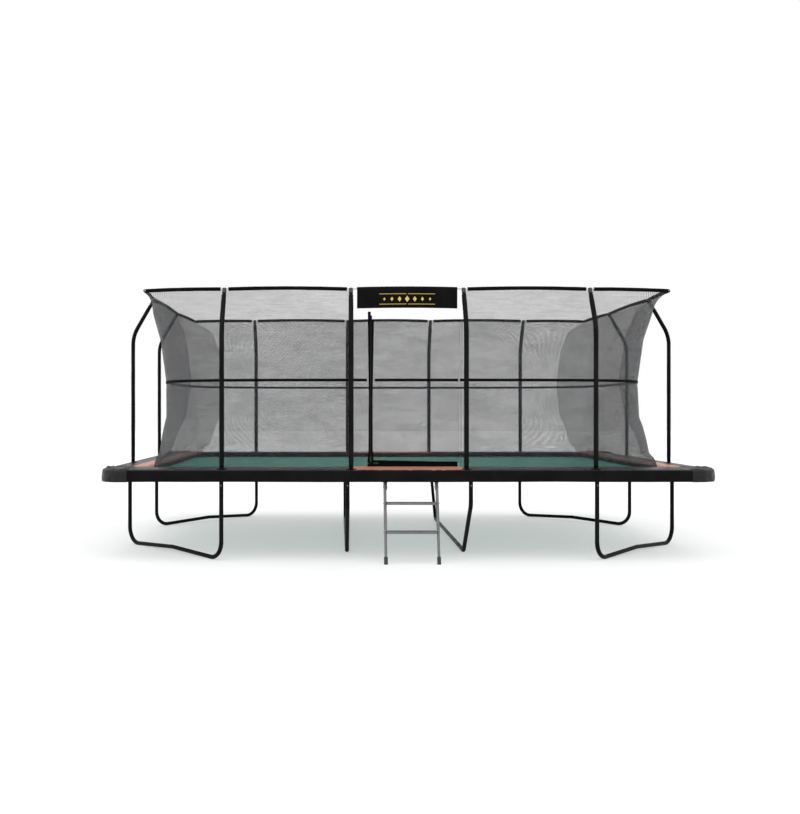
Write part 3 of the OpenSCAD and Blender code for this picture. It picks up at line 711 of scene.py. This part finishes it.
def zips():
    """The two halves of the zip, with its teeth, and the flap of cloth behind it."""
    foot_low, foot_high = 0.968, 1.002
    left, right = door_x0 - tape_w, door_x1 - 0.012

    def strip(x0, x1, *shape):
        return net_grid(front_at(x0), front_at(x1), *shape)

    def door_foot_top(p):
        along = (p - front_at(left)) / (front_at(right) - front_at(left))
        return door_low.z + 0.034 - 0.02 * along

    fixed = [
        tape_grid(-1, 1.006, bay_top + 0.09, 0.001),
        strip(left, right, foot_low, foot_high, net_t + 0.001, 0.04, 0.002),
    ]
    moving = [
        tape_grid(1, door_low.z + 0.03, bay_top, 0.001),
        strip(door_x0 + 0.001, right, door_low.z, door_foot_top, net_t + 0.0025, 0.04, 0.002),
    ]
    flap = [
        strip(door_x0 - 0.013, door_x0 + 0.013, 0.99, bay_top + 0.05, -0.0015, 0.02, 0),
        strip(door_x0 + 0.014, door_x1 - 0.02, 0.986, 1.022, -0.0015, 0.04, 0),
    ]
    lining = cloth_piece("zip_flap", "black_webbing", flap, 0.0016)
    for name, grids, body, node, side, top in (
        ("zip_band", fixed, FRAME, "zip_tape", -1, bay_top + 0.08),
        ("door_zip_band", moving, "door", "door_zip_tape", 1, bay_top),
    ):
        band = cloth_piece(name, "black_webbing", grids, 0.0022, body, [node])
        row = piece_of(name + "_teeth", "black_plastic", teeth(side, 1.04, top - 0.01), body, smooth=False)
        area = sum(grid_area(grid) for grid in grids)


# ---- Poles and top rail ----


def turned_place(x, y, turn):
    """Carries points from a pole's own axes, where -Y is outboard, to the shared frame."""
    c, s = math.cos(math.radians(turn)), math.sin(math.radians(turn))

    def carry(point):
        a, b, z = point
        return (x + c * a - s * b, y + s * a + c * b, z)

    return carry


bays = (-bay_outer, -bay_inner, bay_inner, bay_outer)
front_places = [(x, -half_y, 0) for x in bays]
back_places = [(x, half_y, 180) for x in bays]
side_places = [(s * half_x, y, 90 if s > 0 else 270) for s in (-1, 1) for y in (-side_bay, side_bay)]

pole_bend_z, pole_bend_r = 2.46, 0.4
foam_z0, foam_back = 0.978, 0.085


def bent_line(points, radius, pitch):
    """A polyline through points, with its inner corners rounded to a radius and steps of about pitch."""
    points = [np.array(p, float) for p in points]
    line = [points[0]]
    for before, here, after in zip(points, points[1:], points[2:]):
        u = (here - before) / np.linalg.norm(here - before)
        v = (after - here) / np.linalg.norm(after - here)
        angle = math.acos(np.clip(u @ v, -1, 1))
        back = radius * math.tan(angle / 2)
        n = v - u * (u @ v)
        n /= np.linalg.norm(n)
        centre = here - u * back + n * radius
        count = max(4, math.ceil(radius * angle / pitch))
        for k in range(count + 1):
            a = angle * k / count
            line.append(centre + radius * (u * math.sin(a) - n * math.cos(a)))
    line.append(points[-1])
    full = [line[0]]
    for a, b in zip(line, line[1:]):
        count = max(1, math.ceil(np.linalg.norm(b - a) / pitch))
        full += [a + (b - a) * k / count for k in range(1, count + 1)]
    return np.array(full)


def pole_sleeves():
    """Foam sleeves with a pinched cuff at each end, soft folds and a seam down the inner side."""
    bore, sides = 0.0201, 20
    rise = Vector((0, pole_inset, rail_z - pole_bend_z)).normalized()
    end = Vector((0, pole_inset, rail_z)) - rise * foam_back
    line = bent_line([(0, 0, foam_z0), (0, 0, pole_bend_z), tuple(end)], pole_bend_r, 0.03)
    groups = (
        ("front", front_places, foam_radius),
        ("back", back_places, foam_radius),
        ("side", side_places, side_foam_radius),
    )
    for group, places, radius in groups:
        for number, place in enumerate(places, 1):
            carry = turned_place(*place)
            path = np.array([carry(p) for p in line])
            last = len(path) - 1

            def girth(ring, angle):
                z = path[ring][2]
                pinch = 0.0022 if min(ring, last - ring) == 1 else 0
                fold = 0.0012 * wander(math.cos(angle) * 1.5, math.sin(angle) * 1.5 + number, z * 9)
                ridge = 0.002 * max(0, math.cos(angle - math.pi)) ** 24
                return radius - 0.001 + fold + ridge - pinch

            geometry = sleeve_tube(path, girth, bore, sides)
            name = f"pole_sleeve_{group}_{number}"
            sleeve = piece_of(name, "pole_foam", geometry, FRAME, ["foam_sleeves_" + group])


rail_front = [(-tip_x, -tip_y), (-bay_outer, -net_y1), (-bay_inner, -net_y1),
              (bay_inner, -net_y1), (bay_outer, -net_y1), (tip_x, -tip_y)]
rail_side = half_x - pole_inset
rail_right = [(tip_x, -tip_y), (rail_side, -side_bay), (rail_side, side_bay), (tip_x, tip_y)]
rail_lines = {
    "front": rail_front,
    "right": rail_right,
    "back": [(-x, -y) for x, y in rail_front],
    "left": [(-x, -y) for x, y in rail_right],
}
RAIL_ARCH, TIP_DROOP = 0.012, 0.012


def rail_path(a, b, cut_a, cut_b, tip_at=None):
    """Points along the top rod from a to b. Between poles it arches up a little, and it droops to a tip."""
    a, b = np.array(a), np.array(b)
    length = np.linalg.norm(b - a)
    points = []
    for t in spaced(cut_a / length, 1 - cut_b / length, 0.04 / length):
        x, y = a + (b - a) * t
        if tip_at is None:
            rise = RAIL_ARCH * 4 * t * (1 - t)
        else:
            near = 1 - t if tip_at == 0 else t
            rise = 0.004 * 4 * t * (1 - t) - TIP_DROOP * near ** 2
        points.append((x, y, rail_z + rise))
    return points


def top_rail():
    """Rods from pole to pole and out to the tips, in cloth sleeves that end short of each pole."""
    sleeve_gap, tip_gap = 0.042, 0.012
    rod_radius, sleeve_radius, sleeve_bore = 0.007, 0.0178, 0.0158
    for side, line in rail_lines.items():
        sleeves, rods, length = [], [], 0
        last = len(line) - 2
        for i, (a, b) in enumerate(zip(line, line[1:])):
            tip_at = 0 if i == 0 else 1 if i == last else None
            rods.append(solid_tube(rail_path(a, b, 0.001, 0.001, tip_at), rod_radius, 10))
            if side == "front" and i == 2:
                continue
            cuts = [tip_gap if i == end else sleeve_gap for end in (0, last)]
            path = np.array(rail_path(a, b, *cuts, tip_at))
            length += run_length(path)

            def girth(ring, angle):
                x, y, z = path[ring]
                fold = 0.0013 * wander(x * 8 + math.cos(angle), y * 8 + math.sin(angle), 3.0)
                fin = 0.005 * max(0, math.cos(angle - math.pi)) ** 10
                return sleeve_radius + fold + fin

            sleeves.append(sleeve_tube(path, girth, sleeve_bore, 18))
        name = "top_rail_sleeve_" + side
        sleeve = piece_of(name, "black_webbing", joined(sleeves), FRAME, ["top_rail_sleeves"])
        piece_of("top_rod_" + side, "rod_fibreglass", joined(rods), FRAME, ["top_rods"])


def banner():
    """A cloth panel whose top is sewn round the rod, with a plain gold ornament of diamonds."""
    low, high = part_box("banner")
    centre_x, rod_y = (low.x + high.x) / 2, -net_y1
    radius = 0.0175
    drop = rail_z - low.z
    profile = [(-radius, -drop * k / 8) for k in range(8, 0, -1)]
    profile += [(-radius * math.cos(a), radius * math.sin(a)) for a in np.linspace(0, math.pi * 1.45, 14)]

    def hung(x, y, z):
        """A place on the panel. The cloth waves more towards its foot, and follows the rod's arch."""
        wave = 0.0035 * wander(x * 3.2, z * 4, 1.0) * max(0, -z - 0.02) / drop
        arch = 0.8 * RAIL_ARCH * (1 - ((x - centre_x) / bay_inner) ** 2)
        return x, rod_y + y + wave, rail_z + z + arch

    grid = np.array([[hung(x, y, z) for x in np.linspace(low.x, high.x, 40)] for y, z in profile])
    panel = cloth_piece("banner_panel", "banner_cloth", [grid], 0.0024, FRAME, ["banner"])

    def plate(outline):
        count = len(outline)
        front = [hung(x, -radius - 0.0021, z) for x, z in outline]
        back = [(x, y + 0.0012, z) for x, y, z in front]
        faces = [tuple(range(count)), tuple(range(count, 2 * count))[::-1]]
        faces += [(i, i + count, (i + 1) % count + count, (i + 1) % count) for i in range(count)]
        return front + back, faces

    parts = []
    mid_z = -drop * 0.55
    for k in range(-3, 4):
        tall = 0.034 - 0.0055 * abs(k)
        wide = 0.72 * tall
        x = centre_x + k * 0.082
        parts.append(plate([(x - wide, mid_z), (x, mid_z - tall), (x + wide, mid_z), (x, mid_z + tall)]))
    line_ends = np.linspace(0.01, 0.3, 8)
    half = 0.0025
    for side in (-1, 1):
        for z in (mid_z + 0.055, mid_z - 0.055):
            for x0, x1 in zip(line_ends, line_ends[1:]):
                a, b = sorted((centre_x + side * x0, centre_x + side * x1))
                parts.append(plate([(a, z - half), (b, z - half), (b, z + half), (a, z + half)]))
    points, faces = joined(parts)
    ornament = add_mesh("banner_ornament", points, faces, gold.material, FRAME, smooth=False)


# ---- Mat and springs ----

MAT_PITCH = 0.05
# How far a V-ring reaches past the mat, how far short of the frame's centre line a spring ends, and the play
ring_reach, spring_from, play = 0.044, 0.034, 0.001
spring_pitch = 0.125
spring_z = frame_z + 0.005
# Each side's outward direction and its number of springs
SPRING_SIDES = {"front": (0, -1, 44), "back": (0, 1, 44), "left": (-1, 0, 28), "right": (1, 0, 28)}


def jumping_mat():
    """A tight woven sheet whose corners are cut. Its edge draws in a little between the springs, and its
    corners are cut.
    """
    cut = 0.06
    grid = []
    for y in spaced(mat_low.y, mat_high.y, MAT_PITCH):
        row = []
        for x in spaced(mat_low.x, mat_high.x, MAT_PITCH):
            over = abs(x) + abs(y) - (mat_high.x + mat_high.y - cut)
            px, py = x, y
            if over > 0:
                px, py = x - math.copysign(over / 2, x), y - math.copysign(over / 2, y)
            z = (mat_low.z + mat_high.z) / 2 + 0.0012 * wander(x, y, 0, 1.3)
            row.append((px, py, z))
        grid.append(row)
    mat = cloth_piece("jumping_mat_cloth", "mat_fabric", [np.array(grid)], 0.004, "mat", ["jumping_mat"])


def spring_places():
    """For each side, the start at the mat, the outward direction and the length of every spring."""
    sides = {}
    for side, (dx, dy, number) in SPRING_SIDES.items():
        mat_edge, frame_line = (mat_high.x, half_x) if dx else (mat_high.y, half_y)
        begin = mat_edge + ring_reach + play
        length = frame_line - spring_from - begin
        sides[side] = []
        for i in range(number):
            along = (i - (number - 1) / 2) * spring_pitch
            start = (dx * begin, along) if dx else (along, dy * begin)
            sides[side].append((start, (dx, dy), length))
    return sides


def corner_springs():
    """The same for the one spring at each cut corner of the mat."""
    reach = (ring_reach + play) / math.sqrt(2)
    start = (mat_high.x - 0.03 + reach, mat_high.y - 0.03 + reach)
    length = (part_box("springs_corner")[1].x - start[0]) * math.sqrt(2) - 0.003
    d = 1 / math.sqrt(2)
    return {
        (sx, sy): ((sx * start[0], sy * start[1]), (sx * d, sy * d), length)
        for sx in (-1, 1) for sy in (-1, 1)
    }


def spring_wire(start, way, length):
    """A close-wound coil with a hook at each end."""
    wire, coil, neck, turns, per_turn = 0.0017, 0.0101, 0.018, 24, 8
    x0, y0 = start
    dx, dy = way
    path = [(0, 0, -0.006), (0.002, 0, -0.001), (neck * 0.6, 0, 0)]
    count = turns * per_turn
    for k in range(count + 1):
        angle = 2 * math.pi * k / per_turn
        s = neck + (length - 2 * neck) * k / count
        grow = min(1, k / per_turn, (count - k) / per_turn)
        path.append((s, coil * grow * math.sin(angle), coil * grow * math.cos(angle)))
    path += [(length - neck * 0.6, 0, 0), (length - 0.002, 0, -0.001), (length, 0, -0.006)]
    world = [(x0 + dx * s - dy * b, y0 + dy * s + dx * b, spring_z + z) for s, b, z in path]
    return solid_tube(world, wire, 4)


def v_ring(start, way):
    """A triangle of wire, wide where it is sewn to the mat's edge."""
    x0, y0 = start
    dx, dy = way
    wide, nose, back = 0.02, 0.005, 0.041
    loop = [(0.0, nose), (-back, wide), (-back - 0.001, 0.0), (-back, -wide), (0.0, -nose)]
    points = [(x0 + dx * s - dy * b, y0 + dy * s + dx * b, spring_z) for s, b in loop]
    points += [(x0 + dx * 0.004, y0 + dy * 0.004, spring_z), points[0]]
    return solid_tube(points, 0.0019, 5)


def springs():
    """Each side's springs are one piece, between the frame and the mat."""
    rings = []
    for side, places in spring_places().items():
        rings += [v_ring(start, way) for start, way, _ in places]
        wires = [spring_wire(*place) for place in places]
        node = "springs_long_sides" if side in ("front", "back") else "springs_short_sides"
        piece = piece_of("springs_" + side, "spring_steel", joined(wires), None, [node])
        (x, y), (dx, dy), length = places[0]
        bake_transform(piece)
    for (sx, sy), (start, way, length) in corner_springs().items():
        rings.append(v_ring(start, way))
        name = f"spring_{'front' if sy < 0 else 'back'}_{'left' if sx < 0 else 'right'}"
        piece = piece_of(name, "spring_steel", spring_wire(start, way, length), None, ["springs_corner"])
        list(start)
        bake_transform(piece)
    piece_of("mat_v_rings", "zinc_hardware", joined(rings), "mat", ["v_rings"])


net_panels()
door_apron()
net_hems()
belts()
door()
zips()
pole_sleeves()
top_rail()
banner()
jumping_mat()
springs()

# ---- Pads ----

PAD_PITCH = 0.024
# The padding's corner radius, and where along X the side pads' black border and the corner patches begin
pad_r, colour_seam_x, patch_from = 0.25, 3.02, 2.93
# The covers' height at the pads' inner and outer edges, and how much lower they lie at their rims
top_inner, top_outer, top_rim = 0.961, 0.947, 0.008
skirt_top = 0.948


# The front and back sections: where they begin and end along X, and their side
END_SECTIONS = {
    "front_left": (-pad_x, -bay_inner, -1),
    "entry": (-bay_inner, bay_inner, -1),
    "front_right": (bay_inner, pad_x, -1),
    "back_left": (-pad_x, -bay_inner, 1),
    "back_middle": (-bay_inner, bay_inner, 1),
    "back_right": (bay_inner, pad_x, 1),
}
ORANGE = ("entry", "back_middle", "left", "right")


def outer_y(x):
    """The pad's outer edge over x, round its corner."""
    over = max(0, abs(x) - (pad_x - pad_r))
    return pad_y - pad_r + math.sqrt(max(0, pad_r ** 2 - over ** 2))


def corner_steps(x0, x1):
    """Places along the front or back edge, closer together round a corner."""
    far = max(abs(x0), abs(x1))
    if far < pad_x - 0.01:
        return spaced(x0, x1, PAD_PITCH)
    sign = 1 if abs(x1) > abs(x0) else -1
    near = min(abs(x0), abs(x1))
    straight = spaced(near, pad_x - pad_r, PAD_PITCH)
    turns = np.linspace(0, math.pi / 2, 15)[1:]
    steps = np.concatenate([straight, pad_x - pad_r + pad_r * np.sin(turns)])
    return steps if sign > 0 else -steps[::-1]


def end_pad(x0, x1, side):
    """Plan of a front or back section: rows from the outer edge to the inner one."""
    edge = [(x, outer_y(x)) for x in corner_steps(x0, x1)]
    return np.array([[(x, side * (y + (inner_y - y) * t)) for x, y in edge] for t in np.linspace(0, 1, 18)])


def side_pad(side):
    """Plan of a left or right section, with the two cut corners of the opening."""
    across_border, across_field = 6, 12
    rows = []
    for k in range(across_border + across_field + 1):
        row = []
        for y in spaced(-inner_y, inner_y, PAD_PITCH):
            edge = inner_x - max(0, abs(y) - (inner_y - inner_cut))
            if k <= across_border:
                x = pad_x + (colour_seam_x - pad_x) * k / across_border
            else:
                x = colour_seam_x + (edge - colour_seam_x) * (k - across_border) / across_field
            row.append((side * x, y))
        rows.append(row)
    return np.array(rows)


PLANS = {name: end_pad(*span) for name, span in END_SECTIONS.items()}
PLANS.update(left=side_pad(-1), right=side_pad(1))


def cushion(plan):
    """Points and faces of a closed pad over its plan: top, wall with a middle ring, and flat underside."""
    rows, cols, _ = plan.shape
    across = np.linspace(0, 1, rows)[:, None].repeat(cols, 1)
    from_ends = np.minimum(np.arange(cols), cols - 1 - np.arange(cols))[None, :]
    from_sides = np.minimum(np.arange(rows), rows - 1 - np.arange(rows))[:, None]
    rim = 1 - np.clip(np.minimum(from_ends, from_sides) / 2, 0, 1)
    heights = top_outer + (top_inner - top_outer) * across - top_rim * rim ** 2
    for j in range(rows):
        for i in range(cols):
            heights[j, i] += 0.0025 * wander(*plan[j, i], 0, 4.0) * (1 - rim[j, i])
    top = np.dstack([plan, heights]).reshape(-1, 3)
    low = np.dstack([plan, np.full((rows, cols), pad_bottom)]).reshape(-1, 3)
    ring = rim_of(rows, cols)
    count = rows * cols
    points = np.concatenate([top, low, (top[ring] + low[ring]) / 2])
    faces = grid_faces(rows, cols) + grid_faces(rows, cols, count, flip=True)
    base = 2 * count
    for k, here in enumerate(ring):
        n = (k + 1) % len(ring)
        faces.append((here, base + k, base + n, ring[n]))
        faces.append((base + k, count + here, count + ring[n], base + n))
    return points, faces, count


def outward(mesh):
    """Turns all faces of a closed mesh outward."""
    bm = bmesh.new()
    bm.from_mesh(mesh)
    bmesh.ops.recalc_face_normals(bm, faces=bm.faces)
    bm.to_mesh(mesh)
    bm.free()


COVER = {
    "quality": 5, "mass": 0.3, "tension_stiffness": 8, "compression_stiffness": 8, "shear_stiffness": 4,
    "bending_stiffness": 0.4, "use_pressure": True, "uniform_pressure_force": 3.0, "shrink_min": -0.03,
    "vertex_group_mass": "held",
}


def inflate(pads):
    """Lets the covers swell and crease over their foam. The underside is held by the frame."""
    scene = bpy.context.scene
    last_frame, furthest = 20, 0.011
    for pad, count in pads:
        pin = pad.vertex_groups.new(name="held")
        pin.add(list(range(count, 2 * count)), 1.0, "REPLACE")
        modifier = pad.modifiers.new("cover", "CLOTH")
        for key, value in COVER.items():
            setattr(modifier.settings, key, value)
        modifier.settings.effector_weights.gravity = 0
        modifier.collision_settings.use_collision = False
        modifier.point_cache.frame_start, modifier.point_cache.frame_end = 1, last_frame
    for step in range(1, last_frame + 1):
        scene.frame_set(step)
    graph = bpy.context.evaluated_depsgraph_get()
    for pad, _ in pads:
        swollen = pad.evaluated_get(graph).to_mesh()
        size = len(pad.data.vertices) * 3
        before, after = np.empty(size), np.empty(size)
        pad.data.vertices.foreach_get("co", before)
        swollen.vertices.foreach_get("co", after)
        pad.evaluated_get(graph).to_mesh_clear()
        move = (after - before).reshape(-1, 3)
        far = np.linalg.norm(move, axis=1, keepdims=True)
        move *= np.minimum(1, furthest / np.maximum(far, 1e-9))
        pad.modifiers.clear()
        pad.vertex_groups.clear()
        pad.data.vertices.foreach_set("co", before + move.ravel())
    scene.frame_set(1)


def on_patch(x, y):
    """1 over the corner patches and 0 away from them, with a short ramp between."""
    return np.clip((abs(x) - patch_from) / 0.03, 0, 1) * np.clip((abs(y) - inner_y) / 0.03, 0, 1)


def crumple_at(x, y):
    """How much the cover is creased: most over the corner patches, and beside each section's seams."""
    seams = max(0, 1 - abs(abs(x) - bay_inner) / 0.16) if abs(y) > inner_y - 0.01 else 0
    sides = max(0, 1 - (inner_y - abs(y)) / 0.2) if abs(y) <= inner_y else 0
    return 0.014 * on_patch(x, y) + 0.003 * max(seams, sides)


def has_second_colour(section, x, y, z):
    """Orange sections have a black border and underside, and the front left one a short orange strip."""
    if section == "front_left":
        return -1.52 < x < -1.08 and abs(y) < inner_y + 0.07
    border = abs(x) > colour_seam_x - 0.004 if abs(y) < inner_y else abs(y) > pad_y - 0.035
    return section in ORANGE and (border or z < pad_bottom + 0.012)


def refine(pad, section):
    """One subdivision, creases, and the second colour."""
    bm = bmesh.new()
    bm.from_mesh(pad.data)
    bmesh.ops.subdivide_edges(bm, edges=bm.edges, cuts=1, use_grid_fill=True, smooth=0.0)
    for _ in range(2):
        bmesh.ops.smooth_vert(
            bm, verts=bm.verts, factor=0.35, use_axis_x=True, use_axis_y=True, use_axis_z=True
        )
    bm.normal_update()
    for v in bm.verts:
        x, y, z = v.co
        if z < pad_bottom + 0.006:
            continue
        ridge = 1 - 2 * abs(wander(x * 1.3, y, z, 9.0))
        small = wander(x, y * 1.4, z, 24.0)
        v.co += v.normal * (crumple_at(x, y) * (0.7 * ridge + 0.5 * small) + 0.0008 * small)
        v.co.z = min(v.co.z, pad_top + 0.012)
    for face in bm.faces:
        face.smooth = True
        face.material_index = int(has_second_colour(section, *face.calc_center_median()))
    bm.to_mesh(pad.data)
    bm.free()


def pads():
    """The eight covers. Each is drawn in a little towards its middle, so that neighbours don't touch."""
    drawn_in = 0.0012
    made = []
    for section, plan in PLANS.items():
        slots = ["pad_black", "pad_orange"]
        if section in ORANGE:
            slots.reverse()
        plan = plan + (plan.mean(axis=(0, 1)) - plan) * drawn_in
        points, faces, count = cushion(plan)
        pad = add_mesh(f"pad_{section}_cover", points, faces, MATERIALS[slots[0]], None)
        pad.data.materials.append(MATERIALS[slots[1]])
        outward(pad.data)
        made.append((pad, count, section, slots[0]))
    inflate([row[:2] for row in made])
    for pad, _, section, slot in made:
        refine(pad, section)
        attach(pad, FRAME)
        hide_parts("pad_" + section)


def edge_path(x0, x1, side):
    """The outer edge of a front or back section, on round its corner to the side section."""
    points = []
    for x in corner_steps(x0, x1):
        points.append((x, side * outer_y(x)))
    if abs(x1) > pad_x - 0.01:
        points += [(x1, side * y) for y in spaced(pad_y - pad_r, inner_y, 0.03)[1:]]
    if abs(x0) > pad_x - 0.01:
        points = [(x0, side * y) for y in spaced(inner_y, pad_y - pad_r, 0.03)[:-1]] + points
    return points


SKIRTS = {name: edge_path(*span) for name, span in END_SECTIONS.items()}
SKIRTS["left"] = [(-pad_x, y) for y in spaced(-inner_y, inner_y, 0.03)]
SKIRTS["right"] = [(pad_x, y) for x, y in SKIRTS["left"]]


def away(path):
    """Unit vectors outward from the pads at each point of an edge path."""
    t = np.gradient(path, axis=0)
    n = np.stack([t[:, 1], -t[:, 0]], 1)
    n /= np.linalg.norm(n, axis=1, keepdims=True)
    return n * np.sign((n * path).sum(axis=1, keepdims=True))


def skirt_grid(path, low, high, out, fold=0.006):
    """Rows of points down a hanging skirt, which stands off its path by out and is loose at its foot."""
    path = np.array(path)
    normals = away(path)
    rows = []
    for h in np.linspace(0, 1, max(3, round((high - low) / 0.012))):
        row = []
        for (x, y), (nx, ny) in zip(path, normals):
            free = 1 - (low + (high - low) * h - skirt_z) / (skirt_top - skirt_z)
            z = low + (high - low) * h + 0.004 * wander(x, y, 0, 1.7) * (1 - h)
            wave = 0.004 * wander(x, y, z * 0.3, 3.1) + 0.0015 * wander(x, y, z, 11.0)
            crease = on_patch(x, y) * fold * (1 - 2 * abs(wander(x * 1.5, y * 1.5, z * 1.5, 9.0)))
            bulge = 0.004 * math.sin(math.pi * np.clip(free, 0, 1))
            d = out + bulge + (wave + crease) * (0.25 + 0.75 * free)
            row.append((x + nx * d, y + ny * d, z))
        rows.append(row)
    return np.array(rows)


def skirts():
    """Each section's skirt, with a hem at its foot and piping where it is sewn on."""
    for name, path in SKIRTS.items():
        foot = skirt_z + 0.001
        skirt = cloth_piece("skirt_" + name, "pad_black", [skirt_grid(path, foot, skirt_top, 0.001)], 0.002)
        hem_grid = skirt_grid(path, skirt_z, skirt_z + 0.016, 0.0035)
        hem = cloth_piece("skirt_hem_" + name, "pad_black", [hem_grid], 0.002)
        # Skirts and hems take the darker copy of the cover's cloth, whose darker colour is painted shade on
        # the hanging sides
        for cloth in (skirt, hem):
            cloth.data.materials[0] = skirt_shaded_cloth
        top_edge = skirt_grid(path, foot, skirt_top, 0.0015)[-1]
        piping = piece_of("skirt_piping_" + name, "pad_black", solid_tube(top_edge, 0.0035, 8))
        flat = (skirt_top - skirt_z, run_length(path))


def corner_patches():
    """A crumpled cover wrapped round each corner of the padding."""
    low, high = skirt_z - 0.002, skirt_top + 0.004
    for name in ("front_left", "front_right", "back_left", "back_right"):
        path = [p for p in SKIRTS[name] if abs(p[0]) > patch_from]
        grid = skirt_grid(path, low, high, 0.009, 0.014)
        patch = cloth_piece("corner_patch_" + name, "pad_black", [grid], 0.0022)
        run_length(path)


def stitch_row(a, b, height):
    """Short pale threads in a line from a to b, just proud of a surface whose height is given."""
    a, b = np.array(a), np.array(b)
    length = np.linalg.norm(b - a)
    way = (b - a) / length
    parts = []
    for s in np.arange(0.012, length - 0.012, 0.011):
        p, q = a + way * s, a + way * (s + 0.006)
        parts.append(solid_tube([(*p, height(*p)), (*q, height(*q))], 0.0007, 4))
    return parts


def surface_height():
    """A lookup of the finished covers' upper surface."""
    bpy.context.view_layer.update()
    graph = bpy.context.evaluated_depsgraph_get()
    trees = [BVHTree.FromObject(bpy.data.objects[f"pad_{name}_cover"], graph) for name in PLANS]

    def height(x, y):
        best = pad_bottom + 0.02
        for tree in trees:
            hit = tree.ray_cast(Vector((x, y, 1.2)), Vector((0, 0, -1)))[0]
            if hit is not None:
                best = max(best, hit.z)
        return best

    return height


def stitches(height):
    """Pale thread on both sides of every seam."""
    threads = []
    for side in (-1, 1):
        for x in (-bay_inner, bay_inner):
            for gap in (-0.014, 0.014):
                ends = [(x + gap, side * (inner_y + 0.02)), (x + gap, side * (pad_y - 0.03))]
                threads += stitch_row(*ends, height)
        for gap in (-0.01, 0.01):
            x = side * (colour_seam_x + gap)
            threads += stitch_row((x, -inner_y + 0.03), (x, inner_y - 0.03), height)
        for end in (-1, 1):
            y = end * (inner_y - 0.014)
            threads += stitch_row((side * (inner_x + 0.02), y), (side * (pad_x - 0.03), y), height)
    piece = add_mesh("pad_stitches", *joined(threads), thread.material, FRAME)


def pole_collars(height):
    """A webbing collar where each pole passes the padding: radius and lift of its rings."""
    profile = ((0.03, 0.0), (0.031, 0.0035), (0.044, 0.003), (0.056, 0.0015), (0.057, -0.003))
    steps = 24
    collars = []
    for x, y, _ in front_places + back_places + side_places:
        rings = []
        for radius, lift in profile:
            angles = [2 * math.pi * k / steps for k in range(steps)]
            ring = [(x + radius * math.cos(a), y + radius * math.sin(a)) for a in angles]
            rings.append([(px, py, height(px, py) + lift) for px, py in ring])
        rings.append([(px, py, pz - 0.003) for px, py, pz in rings[0]])
        faces = grid_faces(len(rings), steps, around=True)
        last = (len(rings) - 1) * steps
        faces += [(last + i, last + (i + 1) % steps, (i + 1) % steps, i) for i in range(steps)]
        collars.append((sum(rings, []), faces))
    piece_of("pole_collars", "black_webbing", joined(collars))


pads()
skirts()
corner_patches()
cover_height = surface_height()
stitches(cover_height)
pole_collars(cover_height)

# ---- Floor, light and camera ----


def floor():
    shader = Shader("floor_pale", Emission_Strength=0.42)
    shade = shader.noise(shader.place(), 0.8, 4)
    shader.colour(shader.mix(shader.span(shade, 0.3, 0.7, 0, 1), grey(0.5), grey(0.53)))
    shader.rough(shader.span(shade, 0.3, 0.7, 0.8, 0.9))
    size, count = 60.0, 8
    steps = np.linspace(-size, size, count + 1)
    points = [(x, y, 0) for y in steps for x in steps]
    ground = add_mesh("floor", points, grid_faces(count + 1, count + 1), shader.material, None)


def light():
    world = bpy.data.worlds.new("studio")
    world.use_nodes = True
    sky = world.node_tree.nodes["Background"]
    sky.inputs["Color"].default_value = (1.0, 1.0, 1.0, 1)
    sky.inputs["Strength"].default_value = 1.0
    bpy.context.scene.world = world
    for name, aim, strength in (("key", (0.45, 0.5, -1), 0.9), ("fill", (-0.5, 0.35, -1), 0.5)):
        data = bpy.data.lights.new(name, "SUN")
        data.energy, data.angle = strength, 1.1
        lamp = bpy.data.objects.new(name, data)
        lamp.rotation_euler = Vector(aim).to_track_quat("-Z", "Y").to_euler()
        bpy.context.scene.collection.objects.link(lamp)


def camera():
    """At head height before the entrance, a little to its left, looking level along +Y."""
    data = bpy.data.cameras.new("camera")
    data.sensor_fit, data.sensor_width = "AUTO", 36
    data.lens = 42.41
    data.shift_x, data.shift_y = 0.0752, 0.0037
    data.clip_end = 200
    eye = bpy.data.objects.new("camera", data)
    eye.location = (-0.738, -12.2, 1.581)
    eye.rotation_euler = (math.radians(90), 0, 0)
    bpy.context.scene.collection.objects.link(eye)
    bpy.context.scene.camera = eye


floor()
light()
camera()
bpy.context.scene.view_settings.view_transform = "Standard"
